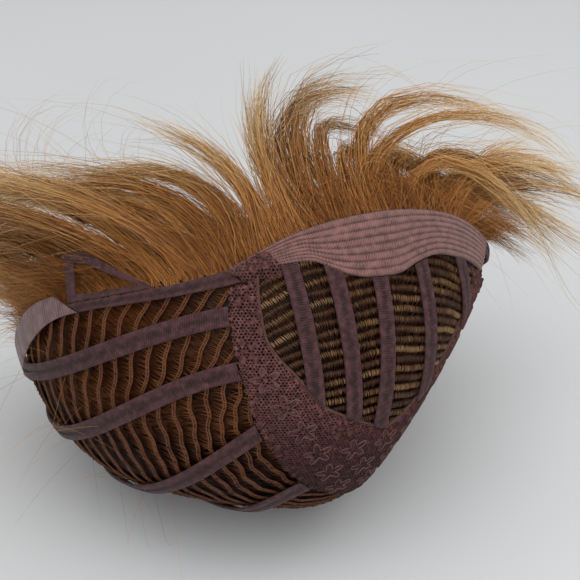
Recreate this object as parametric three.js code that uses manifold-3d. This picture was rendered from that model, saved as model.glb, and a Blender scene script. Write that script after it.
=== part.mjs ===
// Short layered wig, turned inside out and lying on its back like a bowl.
// Sizes are in millimetres, +Z is up, the viewer stands on the -Y side.
// The cap is drawn flat on a chart about the crown: p runs to the wearer's left, q to the forehead.
// The chart is then bent over a slack dome, and each layer lies at its own height on that dome.
import * as THREE from 'three';
import loadSolids from 'manifold-3d';

// Dome that the cap follows, and how it lies.
const CHART_RADIUS = 88;
const DOME_AXES = new THREE.Vector3(88, 92, 80);
const CROWN_AZIMUTH_DEG = 31.9;
const CROWN_TILT_DEG = 4.56;
const FRONT_ROLL_DEG = -6.18;
const FLOOR_REACH = 69.2;

// Heights of the layers above the dome, inner face and outer face.
const HAIR_LAYER = { inner: -4.4, outer: -3.2 };
const WEFT_LAYER = { inner: -0.9, outer: 0.2 };
const CLOTH_LAYER = { inner: 1, outer: 2.1 };
const FLOOR_SETTLE = 0.3;
const DOME_HEIGHT = FLOOR_REACH + CLOTH_LAYER.outer - FLOOR_SETTLE;

// Where the soft dome is pressed flat: the slack right side, the slack near underside and the floor.
const SLACK_SIDES = [
  { toward: [0.86, -0.255, -0.442], reach: 68.5, softness: 4 },
  { toward: [-0.15, -0.49, -0.86], reach: 76.5, softness: 3 },
  { toward: [0, 0, -1], reach: FLOOR_REACH, softness: 0.7 },
];

// Widths and gaps.
const SEAM_GAP = 0.6;
const LACE_GAP = 1.5;
const STRAP_WIDTH = 6.5;
const CROWN_STRAP_WIDTH = 5.6;
const RIBBON_WIDTH = 6.2;
const ELASTIC_RISE = 7.5;
const WEFT_WIDTH = 2.3;
const WEFT_TUCK = 2;
const CROWN_PITCH = 3.7;
const CROWN_ROWS = { first: -15, last: 56, askew: 0.14, sag: 0.007, step: 15 };
const BACK_PITCH_FIRST = 4.5;
const BACK_PITCH_GROWTH = 1.028;
const BACK_STEP = 28;

// Edge of the cap: distance from the crown at each bearing, 0 is the forehead, 90 the wearer's left.
const RIM = [
  { bearing: -180, edge: 212 },
  { bearing: -150, edge: 204 },
  { bearing: -125, edge: 183 },
  { bearing: -105, edge: 148 },
  { bearing: -92, edge: 118 },
  { bearing: -80, edge: 95 },
  { bearing: -70, edge: 82 },
  { bearing: -56, edge: 73.5 },
  { bearing: -38, edge: 68.3 },
  { bearing: -20, edge: 64.8 },
  { bearing: 0, edge: 64 },
  { bearing: 15, edge: 65.6 },
  { bearing: 28, edge: 68.2 },
  { bearing: 38, edge: 70.6 },
  { bearing: 48, edge: 74.2 },
  { bearing: 56, edge: 82 },
  { bearing: 63, edge: 92 },
  { bearing: 69.5, edge: 104.5 },
  { bearing: 74, edge: 115 },
  { bearing: 81, edge: 130.5 },
  { bearing: 87.5, edge: 140.5 },
  { bearing: 102, edge: 158 },
  { bearing: 130, edge: 190 },
  { bearing: 155, edge: 207 },
  { bearing: 180, edge: 212 },
];

// Inner edge of the front band, with the rounded tab round bearing 0.
const BAND = [
  { bearing: -62, inner: 60 },
  { bearing: -42, inner: 53.2 },
  { bearing: -27, inner: 49.5 },
  { bearing: -17, inner: 45.7 },
  { bearing: -6.6, inner: 42 },
  { bearing: 3.5, inner: 42.1 },
  { bearing: 12.4, inner: 43.9 },
  { bearing: 19, inner: 47.4 },
  { bearing: 24, inner: 52.5 },
  { bearing: 27, inner: 56.5 },
  { bearing: 36, inner: 62.4 },
  { bearing: 43, inner: 67 },
  { bearing: 48, inner: 71.2 },
];
const BAND_RIGHT = BAND[0].bearing;
const BAND_LEFT = BAND[BAND.length - 1].bearing;

// Horseshoe of lace, the same on both sides.
const LACE = [
  { bearing: 43, inner: 66, outer: 77 },
  { bearing: 50, inner: 60, outer: 72 },
  { bearing: 56, inner: 55, outer: 67.5 },
  { bearing: 62, inner: 50, outer: 63.5 },
  { bearing: 67, inner: 44, outer: 60.5 },
  { bearing: 72, inner: 37.5, outer: 57.5 },
  { bearing: 80, inner: 32, outer: 53.5 },
  { bearing: 90, inner: 27, outer: 50.5 },
  { bearing: 107, inner: 19.5, outer: 47 },
  { bearing: 130, inner: 15, outer: 45.6 },
  { bearing: 150, inner: 14, outer: 47 },
  { bearing: 180, inner: 15, outer: 54 },
];

// Ribbons across the crown: sideways place at the forehead end and at the lace end.
const CROWN_STRAPS = [
  { front: 35.8, back: 28.5 },
  { front: 21.2, back: 15.8 },
  { front: 3.8, back: 4.4 },
  { front: -14, back: -15 },
  { front: -34.5, back: -40 },
];
const CROWN_STRAP_RUN = { front: 60, back: -22, past: 1.3 };

// Ribbons from the lace to the rim on the left: start, bend and end on the chart.
// The right ones mirror them, turned back about the crown because that side is slack.
const SIDE_STRAPS = [
  { start: [52, 34], bend: [103, 27], end: [158, -50], rightTurn: 16 },
  { start: [52, 14], bend: [104, 2], end: [144, -122], rightTurn: 9 },
  { start: [46, -10], bend: [84, -50], end: [102, -172], rightTurn: 3 },
  { start: [25, -38], bend: [54, -64], end: [44, -212], rightTurn: 0 },
];

// Bearings where the rim changes from band to ribbon, to the ear tab, to elastic and to ribbon again.
const LEFT_EDGE = { temple: 48, tab: 62, ear: 76.5, nape: 124 };
const RIGHT_EDGE = { temple: -62, tab: -78, ear: -92, nape: -126 };
const EAR_TAB = { height: 22, lean: 0.62, tip: 10, frame: 6.2, least: 0.35 };

// Hair that lies inside the cap: a middle part at the crown, and parts between bearings out to the rim.
const HAIR_INSET = 8.5;
const HAIR_CROWN = 60;
const HAIR_SECTORS = [
  { name: 'left', from: 44, to: 112 },
  { name: 'back_left', from: 112, to: 180 },
  { name: 'back_right', from: 180, to: 248 },
  { name: 'right', from: 248, to: 308 },
];

// Hair that comes out of the opening, by the bearing of its root.
// Sway tilts the root along the rim, lean tilts it into the cap, fall is the way its tip goes,
// curl says how late it bends over, and over how far past its fall the tip turns.
const LOCKS = [
  { bearing: -180, length: 52, sway: 0, lean: 0.3, fall: [0.1, 0.8, -0.3], curl: 1.2, over: 1.3 },
  { bearing: -135, length: 58, sway: 0, lean: 0.3, fall: [0.7, 0.6, -0.3], curl: 1.2, over: 1.3 },
  { bearing: -100, length: 70, sway: 0, lean: 0.5, fall: [0.95, 0.2, -0.3], curl: 1.1, over: 1.3 },
  { bearing: -74, length: 80, sway: -0.1, lean: 0.4, fall: [0.8, 0, -0.6], curl: 0.8, over: 1.35 },
  { bearing: -55, length: 92, sway: -0.1, lean: 0.3, fall: [0.78, 0.05, -0.62], curl: 0.8, over: 1.4 },
  { bearing: -35, length: 108, sway: -0.1, lean: 0.3, fall: [0.76, 0.05, -0.65], curl: 0.8, over: 1.4 },
  { bearing: -15, length: 104, sway: 0, lean: 0.25, fall: [0.76, 0.08, -0.62], curl: 1, over: 1.4 },
  { bearing: 0, length: 94, sway: 0, lean: 0.25, fall: [0.8, 0.1, -0.5], curl: 1.4, over: 1.4 },
  { bearing: 12, length: 88, sway: 0.1, lean: 0.2, fall: [0.85, 0.15, -0.2], curl: 1.8, over: 1.35 },
  { bearing: 25, length: 54, sway: 0.05, lean: 0.2, fall: [0.3, 0.3, 0.7], curl: 1.5, over: 1 },
  { bearing: 34, length: 58, sway: 0.2, lean: 0.2, fall: [-0.7, 0.2, 0.3], curl: 1.3, over: 1.1 },
  { bearing: 44, length: 94, sway: 0.35, lean: 0.2, fall: [-0.97, 0.15, 0], curl: 1, over: 1.25 },
  { bearing: 60, length: 120, sway: 0.6, lean: 0.25, fall: [-1, 0.08, -0.05], curl: 0.85, over: 1.15 },
  { bearing: 74, length: 116, sway: 0.8, lean: 0.35, fall: [-1, 0.05, -0.15], curl: 0.85, over: 1.1 },
  { bearing: 90, length: 98, sway: 0.5, lean: 0.4, fall: [-0.97, 0.2, -0.2], curl: 1, over: 1.2 },
  { bearing: 120, length: 62, sway: 0.1, lean: 0.3, fall: [-0.7, 0.6, -0.3], curl: 1.2, over: 1.3 },
  { bearing: 180, length: 52, sway: 0, lean: 0.3, fall: [0.1, 0.8, -0.3], curl: 1.2, over: 1.3 },
];
const LOCK_COUNT = 26;
const LOCK_SECTIONS = 5;
const LOCK_VARIES = { length: 0.34, sway: 0.3, lift: 3 };
const LOCK_ROOT = { inset: 11.2, height: -7.8, run: 12.4 };
const LOCK_SIZE = { width: 11.5, depth: 4.6, rootDepth: 2, tip: 0.24, full: 1.7 };
const HAIR_EDGE = { columns: 36, rise: 2, depth: 2 };
const SHORT_COAT = { height: 22, depth: 1 };

const COLOURS = {
  velvet: { color: 0x775552, roughness: 0.9 },
  lace: { color: 0x4a3635, roughness: 0.9 },
  ribbon: { color: 0x5a4447, roughness: 0.75 },
  elastic: { color: 0x5d4545, roughness: 0.55 },
  weft: { color: 0x45291c, roughness: 0.7 },
  hair: { color: 0x734825, roughness: 0.55 },
};

const rad = THREE.MathUtils.degToRad;

// Crown axis and the forehead and left directions about it.
const crown = new THREE.Vector3(
  Math.cos(rad(CROWN_TILT_DEG)) * Math.sin(rad(CROWN_AZIMUTH_DEG)),
  -Math.cos(rad(CROWN_TILT_DEG)) * Math.cos(rad(CROWN_AZIMUTH_DEG)),
  Math.sin(rad(CROWN_TILT_DEG)),
);
const steep = new THREE.Vector3(0, 0, 1).addScaledVector(crown, -crown.z).normalize();
const across = new THREE.Vector3().crossVectors(crown, steep);
const forehead = steep.clone().multiplyScalar(Math.cos(rad(FRONT_ROLL_DEG)))
  .addScaledVector(across, Math.sin(rad(FRONT_ROLL_DEG)));
const left = new THREE.Vector3().crossVectors(crown, forehead);

// Smooth curve through a table, used between its rows.
function curveOf(table, column) {
  const x = table.map((row) => row.bearing);
  const y = table.map((row) => row[column]);
  const slope = x.map((value, i) => {
    const a = Math.max(i - 1, 0);
    const b = Math.min(i + 1, x.length - 1);
    return (y[b] - y[a]) / (x[b] - x[a]);
  });
  return (bearing) => {
    const at = Math.min(Math.max(bearing, x[0]), x[x.length - 1]);
    let i = 0;
    while (i < x.length - 2 && at > x[i + 1]) i += 1;
    const span = x[i + 1] - x[i];
    const t = (at - x[i]) / span;
    const h1 = t * t * (3 - 2 * t);
    const h2 = t * (1 - t) * (1 - t) * span;
    const h3 = t * t * (t - 1) * span;
    return y[i] * (1 - h1) + y[i + 1] * h1 + slope[i] * h2 + slope[i + 1] * h3;
  };
}
const rimAt = curveOf(RIM, 'edge');
const bandAt = curveOf(BAND, 'inner');
const laceInnerAt = curveOf(LACE, 'inner');
const laceOuterAt = curveOf(LACE, 'outer');

// Chart helpers.
const polar = (distance, bearing) => [
  distance * Math.sin(rad(bearing)),
  distance * Math.cos(rad(bearing)),
];
const bearingOf = ([p, q]) => THREE.MathUtils.radToDeg(Math.atan2(p, q));
const distanceOf = ([p, q]) => Math.hypot(p, q);
const lerp = (a, b, t) => a + (b - a) * t;

// A chart point on the slack dome, raised by a height along the dome's normal.
function onDome([p, q], height) {
  const distance = Math.max(Math.hypot(p, q), 1e-9);
  const angle = distance / CHART_RADIUS;
  const way = crown.clone().multiplyScalar(Math.cos(angle))
    .addScaledVector(left, (Math.sin(angle) * p) / distance)
    .addScaledVector(forehead, (Math.sin(angle) * q) / distance);
  const place = way.clone().multiply(DOME_AXES);
  const normal = way.clone().divide(DOME_AXES).normalize();
  for (const side of SLACK_SIDES) {
    const toward = new THREE.Vector3(...side.toward).normalize();
    const reach = place.dot(toward);
    const half = (side.reach - reach) / 2;
    const root = Math.hypot(half, side.softness);
    const pressed = (reach + side.reach) / 2 - root;
    const give = 0.5 + (0.5 * half) / root;
    place.addScaledVector(toward, pressed - reach);
    normal.addScaledVector(toward, (1 / give - 1) * normal.dot(toward)).normalize();
  }
  place.addScaledVector(normal, height);
  place.z = Math.max(place.z + DOME_HEIGHT, 0);
  return place;
}

// Collects triangles, joining equal corners and leaving out empty ones.
function facetCollector() {
  const corners = [];
  const places = new Map();
  const facets = [];
  const corner = (point) => {
    const key = [point.x, point.y, point.z].map((value) => Math.round(value * 2000)).join(' ');
    if (!places.has(key)) {
      places.set(key, corners.length);
      corners.push(point);
    }
    return places.get(key);
  };
  const facet = (a, b, c) => {
    const ids = [corner(a), corner(b), corner(c)];
    if (new Set(ids).size === 3) facets.push(ids);
  };
  const quad = (a, b, c, d) => {
    facet(a, b, c);
    facet(a, c, d);
  };
  return { corners, facets, facet, quad };
}

// Turns the faces outward, whichever way round the corners were listed.
function facedOut(made) {
  const product = new THREE.Vector3();
  let volume = 0;
  for (const [a, b, c] of made.facets) {
    product.crossVectors(made.corners[b], made.corners[c]);
    volume += made.corners[a].dot(product);
  }
  if (volume < 0) made.facets.forEach((ids) => ids.reverse());
  return made;
}

// A closed shell between two grids of points: rows run along it, columns run across.
function shell(top, under, closed) {
  const made = facetCollector();
  const rows = top.length;
  const columns = top[0].length;
  const last = closed ? rows : rows - 1;
  for (let i = 0; i < last; i += 1) {
    const k = (i + 1) % rows;
    for (let j = 0; j < columns - 1; j += 1) {
      made.quad(top[i][j], top[k][j], top[k][j + 1], top[i][j + 1]);
      made.quad(under[i][j], under[i][j + 1], under[k][j + 1], under[k][j]);
    }
    made.quad(top[i][0], under[i][0], under[k][0], top[k][0]);
    const e = columns - 1;
    made.quad(top[i][e], top[k][e], under[k][e], under[i][e]);
  }
  if (!closed) {
    for (let j = 0; j < columns - 1; j += 1) {
      const e = rows - 1;
      made.quad(top[0][j], top[0][j + 1], under[0][j + 1], under[0][j]);
      made.quad(top[e][j], under[e][j], under[e][j + 1], top[e][j + 1]);
    }
  }
  return facedOut(made);
}

// A wall between two heights over a grid of chart points.
function wall(grid, layer, closed = false) {
  const raised = (height) => grid.map((row) => row.map((point) => onDome(point, height)));
  return shell(raised(layer.outer), raised(layer.inner), closed);
}

// Chart point beside a path, a true distance to one side of it.
function beside(path, t, offset) {
  const [p, q] = path(t);
  const [p0, q0] = path(t - 1e-3);
  const [p1, q1] = path(t + 1e-3);
  const distance = Math.max(Math.hypot(p, q), 1e-6);
  const angle = distance / CHART_RADIUS;
  const squeeze = Math.sin(angle) / angle;
  const outward = ((p1 - p0) * p + (q1 - q0) * q) / distance;
  const around = (((q1 - q0) * p - (p1 - p0) * q) / distance) * squeeze;
  const length = Math.hypot(outward, around);
  const moveOut = (-around / length) * offset;
  const moveRound = ((outward / length) * offset) / squeeze;
  return [
    p + (moveOut * p - moveRound * q) / distance,
    q + (moveOut * q + moveRound * p) / distance,
  ];
}

// A ribbon along a path, each of its lines cut where it leaves the allowed part of the chart.
function ribbon(path, width, steps, allowed) {
  const lines = [-0.5, 0.5].map((share) => {
    const at = (t) => beside(path, t, share * width);
    let from = 0;
    while (from < 1 && !allowed(at(from))) from += 0.0025;
    let to = from;
    while (to < 1 && allowed(at(to + 0.0025))) to += 0.0025;
    return Array.from({ length: steps + 1 }, (unused, i) => at(lerp(from, to, i / steps)));
  });
  return Array.from({ length: steps + 1 }, (unused, i) => lines.map((line) => line[i]).reverse());
}

// A strip between two distances from the crown, over a range of bearings.
function rimStrip(from, to, steps, near, far, columns = 2) {
  return Array.from({ length: steps + 1 }, (unused, i) => {
    const bearing = lerp(from, to, i / steps);
    const turned = bearing > 180 ? bearing - 360 : bearing;
    return Array.from({ length: columns }, (empty, j) => {
      const share = j / (columns - 1);
      return polar(lerp(near(turned), far(turned), share), turned);
    });
  });
}

// Parts of the chart.
const inBand = (bearing) => bearing >= BAND_RIGHT - 1 && bearing <= BAND_LEFT + 1;
const atRibbon = (bearing) => bearing < BAND_RIGHT + 1 || bearing > BAND_LEFT - 1;
const coverEdge = (bearing) => Math.min(
  inBand(bearing) ? bandAt(bearing) : Infinity,
  atRibbon(bearing) ? rimAt(bearing) - RIBBON_WIDTH : Infinity,
);
const laceStart = LACE[0].bearing;
function inCrown(point) {
  const bearing = bearingOf(point);
  const limit = Math.abs(bearing) < laceStart ? Infinity : laceInnerAt(Math.abs(bearing));
  return distanceOf(point) < Math.min(limit, coverEdge(bearing)) - SEAM_GAP;
}
function inSides(point) {
  const bearing = bearingOf(point);
  const distance = distanceOf(point);
  if (distance < laceOuterAt(Math.abs(bearing)) + SEAM_GAP) return false;
  return distance < coverEdge(bearing) - SEAM_GAP;
}

// Lace: each of its lines starts where the band or the edge ribbon ends.
function laceGrid(steps, lines) {
  const share = (j) => j / (lines - 1);
  const at = (bearing, j) => lerp(laceInnerAt(bearing), laceOuterAt(bearing), share(j));
  const startOf = (side, j) => {
    let bearing = laceStart;
    while (at(bearing, j) > coverEdge(side * bearing) - LACE_GAP) bearing += 0.1;
    return bearing;
  };
  return Array.from({ length: steps + 1 }, (unused, i) => Array.from({ length: lines }, (empty, j) => {
    const from = startOf(1, j);
    const to = 360 - startOf(-1, j);
    const bearing = lerp(from, to, i / steps);
    const turned = bearing > 180 ? bearing - 360 : bearing;
    return polar(at(Math.abs(turned), j), turned);
  }));
}

// Row of fibre that is folded to and fro: the rows are joined by round turns into one path.
function foldedPath(rows) {
  const path = [];
  rows.forEach((row, i) => {
    const line = i % 2 ? row.slice().reverse() : row;
    if (path.length) {
      const a = path[path.length - 1];
      const b = line[0];
      const before = path[path.length - 2];
      const run = Math.hypot(a[0] - before[0], a[1] - before[1]);
      const bulge = Math.hypot(a[0] - b[0], a[1] - b[1]) / 2;
      const way = [(a[0] - before[0]) / run, (a[1] - before[1]) / run];
      for (const turn of [45, 90, 135]) {
        const share = (1 - Math.cos(rad(turn))) / 2;
        const out = Math.sin(rad(turn)) * bulge;
        path.push([lerp(a[0], b[0], share) + way[0] * out, lerp(a[1], b[1], share) + way[1] * out]);
      }
    }
    path.push(...line);
  });
  return path;
}
function foldedGrid(points) {
  const path = (t) => {
    const at = Math.min(Math.max(t, 0), points.length - 1);
    const i = Math.min(Math.floor(at), points.length - 2);
    const share = t - i;
    return [lerp(points[i][0], points[i + 1][0], share), lerp(points[i][1], points[i + 1][1], share)];
  };
  return points.map((unused, i) => [0.5, -0.5].map((share) => beside(path, i, share * WEFT_WIDTH)));
}

// Crown rows sag toward the sides and lie a little askew.
function crownRows() {
  const rows = [];
  const limit = (bearing) => {
    const lace = Math.abs(bearing) < laceStart ? Infinity : laceInnerAt(Math.abs(bearing)) + WEFT_TUCK;
    const band = inBand(bearing) ? bandAt(bearing) + WEFT_TUCK : Infinity;
    return Math.min(lace, band, rimAt(bearing) - RIBBON_WIDTH);
  };
  for (let start = CROWN_ROWS.first; start < CROWN_ROWS.last; start += CROWN_PITCH) {
    const at = (p) => [p, start + CROWN_ROWS.askew * p - CROWN_ROWS.sag * p * p];
    const inside = (p) => distanceOf(at(p)) < limit(bearingOf(at(p)));
    const spots = [];
    for (let p = -60; p <= 60; p += 0.5) if (inside(p)) spots.push(p);
    if (spots.length < 24) continue;
    const from = spots[0];
    const to = spots[spots.length - 1];
    const steps = Math.max(4, Math.round((to - from) / CROWN_ROWS.step));
    rows.push(Array.from({ length: steps + 1 }, (unused, i) => at(lerp(from, to, i / steps))));
  }
  return rows;
}

// Rows round the sides and back lie at growing distances from the crown.
function backRows() {
  const rows = [];
  let distance = LACE[LACE.length - 3].outer + 4;
  let pitch = BACK_PITCH_FIRST;
  while (distance < RIM[0].edge - RIBBON_WIDTH) {
    const free = (bearing) => distance > laceOuterAt(Math.abs(bearing)) - WEFT_TUCK
      && distance < rimAt(bearing) - WEFT_TUCK;
    let from = 150;
    let to = -150;
    while (free(from) && from > 40) from -= 0.25;
    while (free(to) && to < -40) to += 0.25;
    const sweep = 360 + to - from;
    const length = rad(sweep) * CHART_RADIUS * Math.sin(distance / CHART_RADIUS);
    const steps = Math.max(9, Math.round(length / BACK_STEP));
    const row = Array.from({ length: steps + 1 }, (unused, i) => polar(distance, from + (sweep * i) / steps));
    rows.push(row);
    pitch *= BACK_PITCH_GROWTH;
    distance += pitch;
  }
  return rows;
}

// Triangular ribbon frame that stands out of the rim between two bearings.
function earTabGrid(front, back) {
  const foot = (bearing) => polar(rimAt(bearing) + SEAM_GAP, bearing);
  const a = foot(front);
  const b = foot(back);
  const base = Math.hypot(b[0] - a[0], b[1] - a[1]);
  const along = [(b[0] - a[0]) / base, (b[1] - a[1]) / base];
  const side = Math.sign(front);
  const spot = ([run, rise]) => [
    a[0] + along[0] * run - along[1] * side * rise,
    a[1] + along[1] * run + along[0] * side * rise,
  ];
  const tip = base * EAR_TAB.lean;
  const outer = [[0, 0], [tip, EAR_TAB.height], [tip + EAR_TAB.tip, EAR_TAB.height], [base, 0]];
  const middle = [0, 1].map((axis) => outer.reduce((sum, corner) => sum + corner[axis], 0) / outer.length);
  const inner = outer.map((corner) => {
    const span = Math.hypot(corner[0] - middle[0], corner[1] - middle[1]);
    const share = Math.max(1 - EAR_TAB.frame / span, EAR_TAB.least);
    return [lerp(middle[0], corner[0], share), lerp(middle[1], corner[1], share)];
  });
  const between = (corners, i, share) => [0, 1].map((axis) => (
    lerp(corners[i][axis], corners[(i + 1) % corners.length][axis], share)
  ));
  const grid = [];
  outer.forEach((corner, i) => {
    for (const share of [0, 1 / 3, 2 / 3]) {
      const onBase = i === outer.length - 1;
      const edge = onBase ? foot(lerp(back, front, share)) : spot(between(outer, i, share));
      grid.push([edge, spot(between(inner, i, share))]);
    }
  });
  return grid;
}

// Inner layer of hair: rings round the crown, and a strip for each part beyond them.
const hairEnd = (bearing) => rimAt(bearing) - HAIR_INSET;
function crownHair(sectors, rings) {
  return Array.from({ length: sectors }, (unused, i) => {
    const bearing = -180 + (360 * i) / sectors;
    const end = Math.min(HAIR_CROWN, hairEnd(bearing));
    return Array.from({ length: rings + 1 }, (empty, j) => polar((end * j) / rings, bearing));
  });
}
const sectorHair = ({ from, to }) => rimStrip(
  from + 0.25,
  to - 0.25,
  8,
  () => HAIR_CROWN + SEAM_GAP,
  hairEnd,
  5,
);

const lockCurves = {};
for (const column of ['length', 'sway', 'lean', 'curl', 'over']) {
  lockCurves[column] = curveOf(LOCKS, column);
}
const fallCurves = [0, 1, 2].map((axis) => curveOf(
  LOCKS.map((row) => ({ bearing: row.bearing, way: row.fall[axis] })),
  'way',
));
const wobble = (seed) => {
  const value = Math.sin(seed * 12.9898) * 43758.5453;
  return value - Math.floor(value) - 0.5;
};

// Bearings that lie evenly along the rim.
function evenBearings(count) {
  const fine = 1440;
  const runs = [0];
  const spot = (i) => {
    const bearing = -180 + (360 * i) / fine;
    return onDome(polar(rimAt(bearing), bearing), 0);
  };
  for (let i = 1; i <= fine; i += 1) runs.push(runs[i - 1] + spot(i).distanceTo(spot(i - 1)));
  let i = 0;
  return Array.from({ length: count }, (unused, k) => {
    while (runs[i] < (runs[fine] * k) / count) i += 1;
    return -180 + (360 * i) / fine;
  });
}

// Frame of the hair at one bearing: its root, the way along the rim, out over it and off the dome.
function rootOf(bearing, lift = 0) {
  const foot = (turn, inset) => {
    const turned = turn > 180 ? turn - 360 : turn;
    return onDome(polar(rimAt(turned) - inset, turned), LOCK_ROOT.height - lift);
  };
  const root = foot(bearing, LOCK_ROOT.inset);
  const along = foot(bearing + 1, LOCK_ROOT.inset).sub(root).normalize();
  const out = foot(bearing, 0).sub(root);
  out.addScaledVector(along, -out.dot(along)).normalize();
  const outward = new THREE.Vector3().crossVectors(out, along);
  return { root, along, out, outward };
}

// The way that hair takes as it leaves the rim.
function startOf(bearing, { along, out, outward }, sway = 0) {
  return out.clone()
    .addScaledVector(along, lockCurves.sway(bearing) + sway)
    .addScaledVector(outward, -lockCurves.lean(bearing))
    .normalize();
}

// One lock: it leaves the rim, then bends over toward its fall, and thins to its tip.
function lock(bearing, length, sway, lift) {
  const { root, along, out, outward } = rootOf(bearing, lift);
  const start = startOf(bearing, { along, out, outward }, sway);
  const fall = new THREE.Vector3(...fallCurves.map((curve) => curve(bearing))).normalize();
  const place = root.clone();
  const flat = along.clone();
  const rings = [];
  for (let i = 0; i <= LOCK_SECTIONS; i += 1) {
    const s = Math.max(i - 1, 0) / (LOCK_SECTIONS - 1);
    const bent = lockCurves.over(bearing) * Math.pow(s, lockCurves.curl(bearing));
    const way = start.clone().multiplyScalar(1 - bent).addScaledVector(fall, bent).normalize();
    if (i === 1) place.addScaledVector(out, LOCK_ROOT.run);
    if (i > 1) place.addScaledVector(way, (length - LOCK_ROOT.run) / (LOCK_SECTIONS - 1));
    const ahead = i ? way : out;
    flat.addScaledVector(ahead, -flat.dot(ahead)).normalize();
    const deep = new THREE.Vector3().crossVectors(ahead, flat);
    const thin = lerp(1, LOCK_SIZE.tip, Math.pow(s, LOCK_SIZE.full));
    const width = LOCK_SIZE.width * thin;
    const depth = i ? LOCK_SIZE.depth * thin : LOCK_SIZE.rootDepth;
    rings.push([[width, 0], [0, depth], [-width, 0], [0, -depth]].map(([x, y]) => (
      place.clone().addScaledVector(flat, x).addScaledVector(deep, y)
    )));
  }
  const made = facetCollector();
  for (let i = 0; i < LOCK_SECTIONS; i += 1) {
    for (let j = 0; j < 4; j += 1) {
      const k = (j + 1) % 4;
      made.quad(rings[i][j], rings[i][k], rings[i + 1][k], rings[i + 1][j]);
    }
  }
  const tip = rings[LOCK_SECTIONS];
  made.quad(rings[0][3], rings[0][2], rings[0][1], rings[0][0]);
  made.quad(tip[0], tip[1], tip[2], tip[3]);
  return facedOut(made);
}

// Short coat of hair all along the edge, which carries the locks.
function hairEdge() {
  const upper = [];
  const lower = [];
  for (const bearing of evenBearings(HAIR_EDGE.columns)) {
    const frame = rootOf(bearing);
    const end = frame.root.clone().addScaledVector(frame.out, LOCK_ROOT.run + HAIR_EDGE.rise);
    const top = end.clone().addScaledVector(startOf(bearing, frame), SHORT_COAT.height);
    const row = [[frame.root, HAIR_EDGE.depth], [end, HAIR_EDGE.depth], [top, SHORT_COAT.depth]];
    upper.push(row.map(([spot, depth]) => spot.clone().addScaledVector(frame.outward, depth)));
    lower.push(row.map(([spot, depth]) => spot.clone().addScaledVector(frame.outward, -depth)));
  }
  return shell(upper, lower, true);
}

// Hair round the opening: locks of varied length, fused to the short hair at their roots.
const solids = await loadSolids();
solids.setup();
const solidOf = (made) => new solids.Manifold(new solids.Mesh({
  numProp: 3,
  vertProperties: new Float32Array(made.corners.flatMap((point) => [point.x, point.y, point.z])),
  triVerts: new Uint32Array(made.facets.flat()),
}));
function hairLocks() {
  const locks = evenBearings(LOCK_COUNT).map((bearing, i) => {
    const length = lockCurves.length(bearing) * (1 + LOCK_VARIES.length * wobble(i + 2));
    const sway = LOCK_VARIES.sway * wobble(i + 9);
    return solidOf(lock(bearing, length, sway, LOCK_VARIES.lift * (i % 2)));
  });
  const fused = solids.Manifold.union([solidOf(hairEdge()), ...locks]).simplify(0.15);
  const outside = fused.decompose().sort((a, b) => b.volume() - a.volume())[0];
  const { vertProperties, triVerts } = outside.getMesh();
  const geometry = new THREE.BufferGeometry();
  geometry.setAttribute('position', new THREE.Float32BufferAttribute(vertProperties, 3));
  geometry.setIndex(Array.from(triVerts));
  geometry.computeVertexNormals();
  return geometry;
}

function geometryOfFacets(made) {
  const geometry = new THREE.BufferGeometry();
  const positions = made.corners.flatMap((point) => [point.x, point.y, point.z]);
  geometry.setAttribute('position', new THREE.Float32BufferAttribute(positions, 3));
  geometry.setIndex(made.facets.flat());
  geometry.computeVertexNormals();
  return geometry;
}

const wig = new THREE.Group();
wig.name = 'short_layered_wig';
function piece(name, geometry, colour) {
  const material = new THREE.MeshStandardMaterial({ ...COLOURS[colour], metalness: 0 });
  const mesh = new THREE.Mesh(geometry, material);
  mesh.name = name;
  wig.add(mesh);
}
const cloth = (grid, closed = false) => geometryOfFacets(wall(grid, CLOTH_LAYER, closed));

piece('front_band', cloth(rimStrip(BAND_RIGHT, BAND_LEFT, 26, bandAt, rimAt, 4)), 'velvet');
piece('lace_band', cloth(laceGrid(29, 4)), 'lace');
CROWN_STRAPS.forEach((row, i) => {
  const path = (t) => [
    lerp(row.front, row.back, t * CROWN_STRAP_RUN.past),
    lerp(CROWN_STRAP_RUN.front, CROWN_STRAP_RUN.back, t),
  ];
  piece(`crown_strap_${i + 1}`, cloth(ribbon(path, CROWN_STRAP_WIDTH, 6, inCrown)), 'ribbon');
});
for (const [side, sign] of [['left', 1], ['right', -1]]) {
  SIDE_STRAPS.forEach((row, i) => {
    const bentAt = (axis, t) => {
      const first = lerp(row.start[axis], row.bend[axis], t);
      return lerp(first, lerp(row.bend[axis], row.end[axis], t), t);
    };
    const path = (t) => {
      const spot = [bentAt(0, t), bentAt(1, t)];
      const turn = sign > 0 ? 0 : row.rightTurn;
      return polar(distanceOf(spot), sign * (bearingOf(spot) + turn));
    };
    piece(`${side}_strap_${i + 1}`, cloth(ribbon(path, STRAP_WIDTH, 17, inSides)), 'ribbon');
  });
}
piece('crown_weft', geometryOfFacets(wall(foldedGrid(foldedPath(crownRows())), WEFT_LAYER)), 'weft');
piece('back_weft', geometryOfFacets(wall(foldedGrid(foldedPath(backRows())), WEFT_LAYER)), 'weft');

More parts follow.
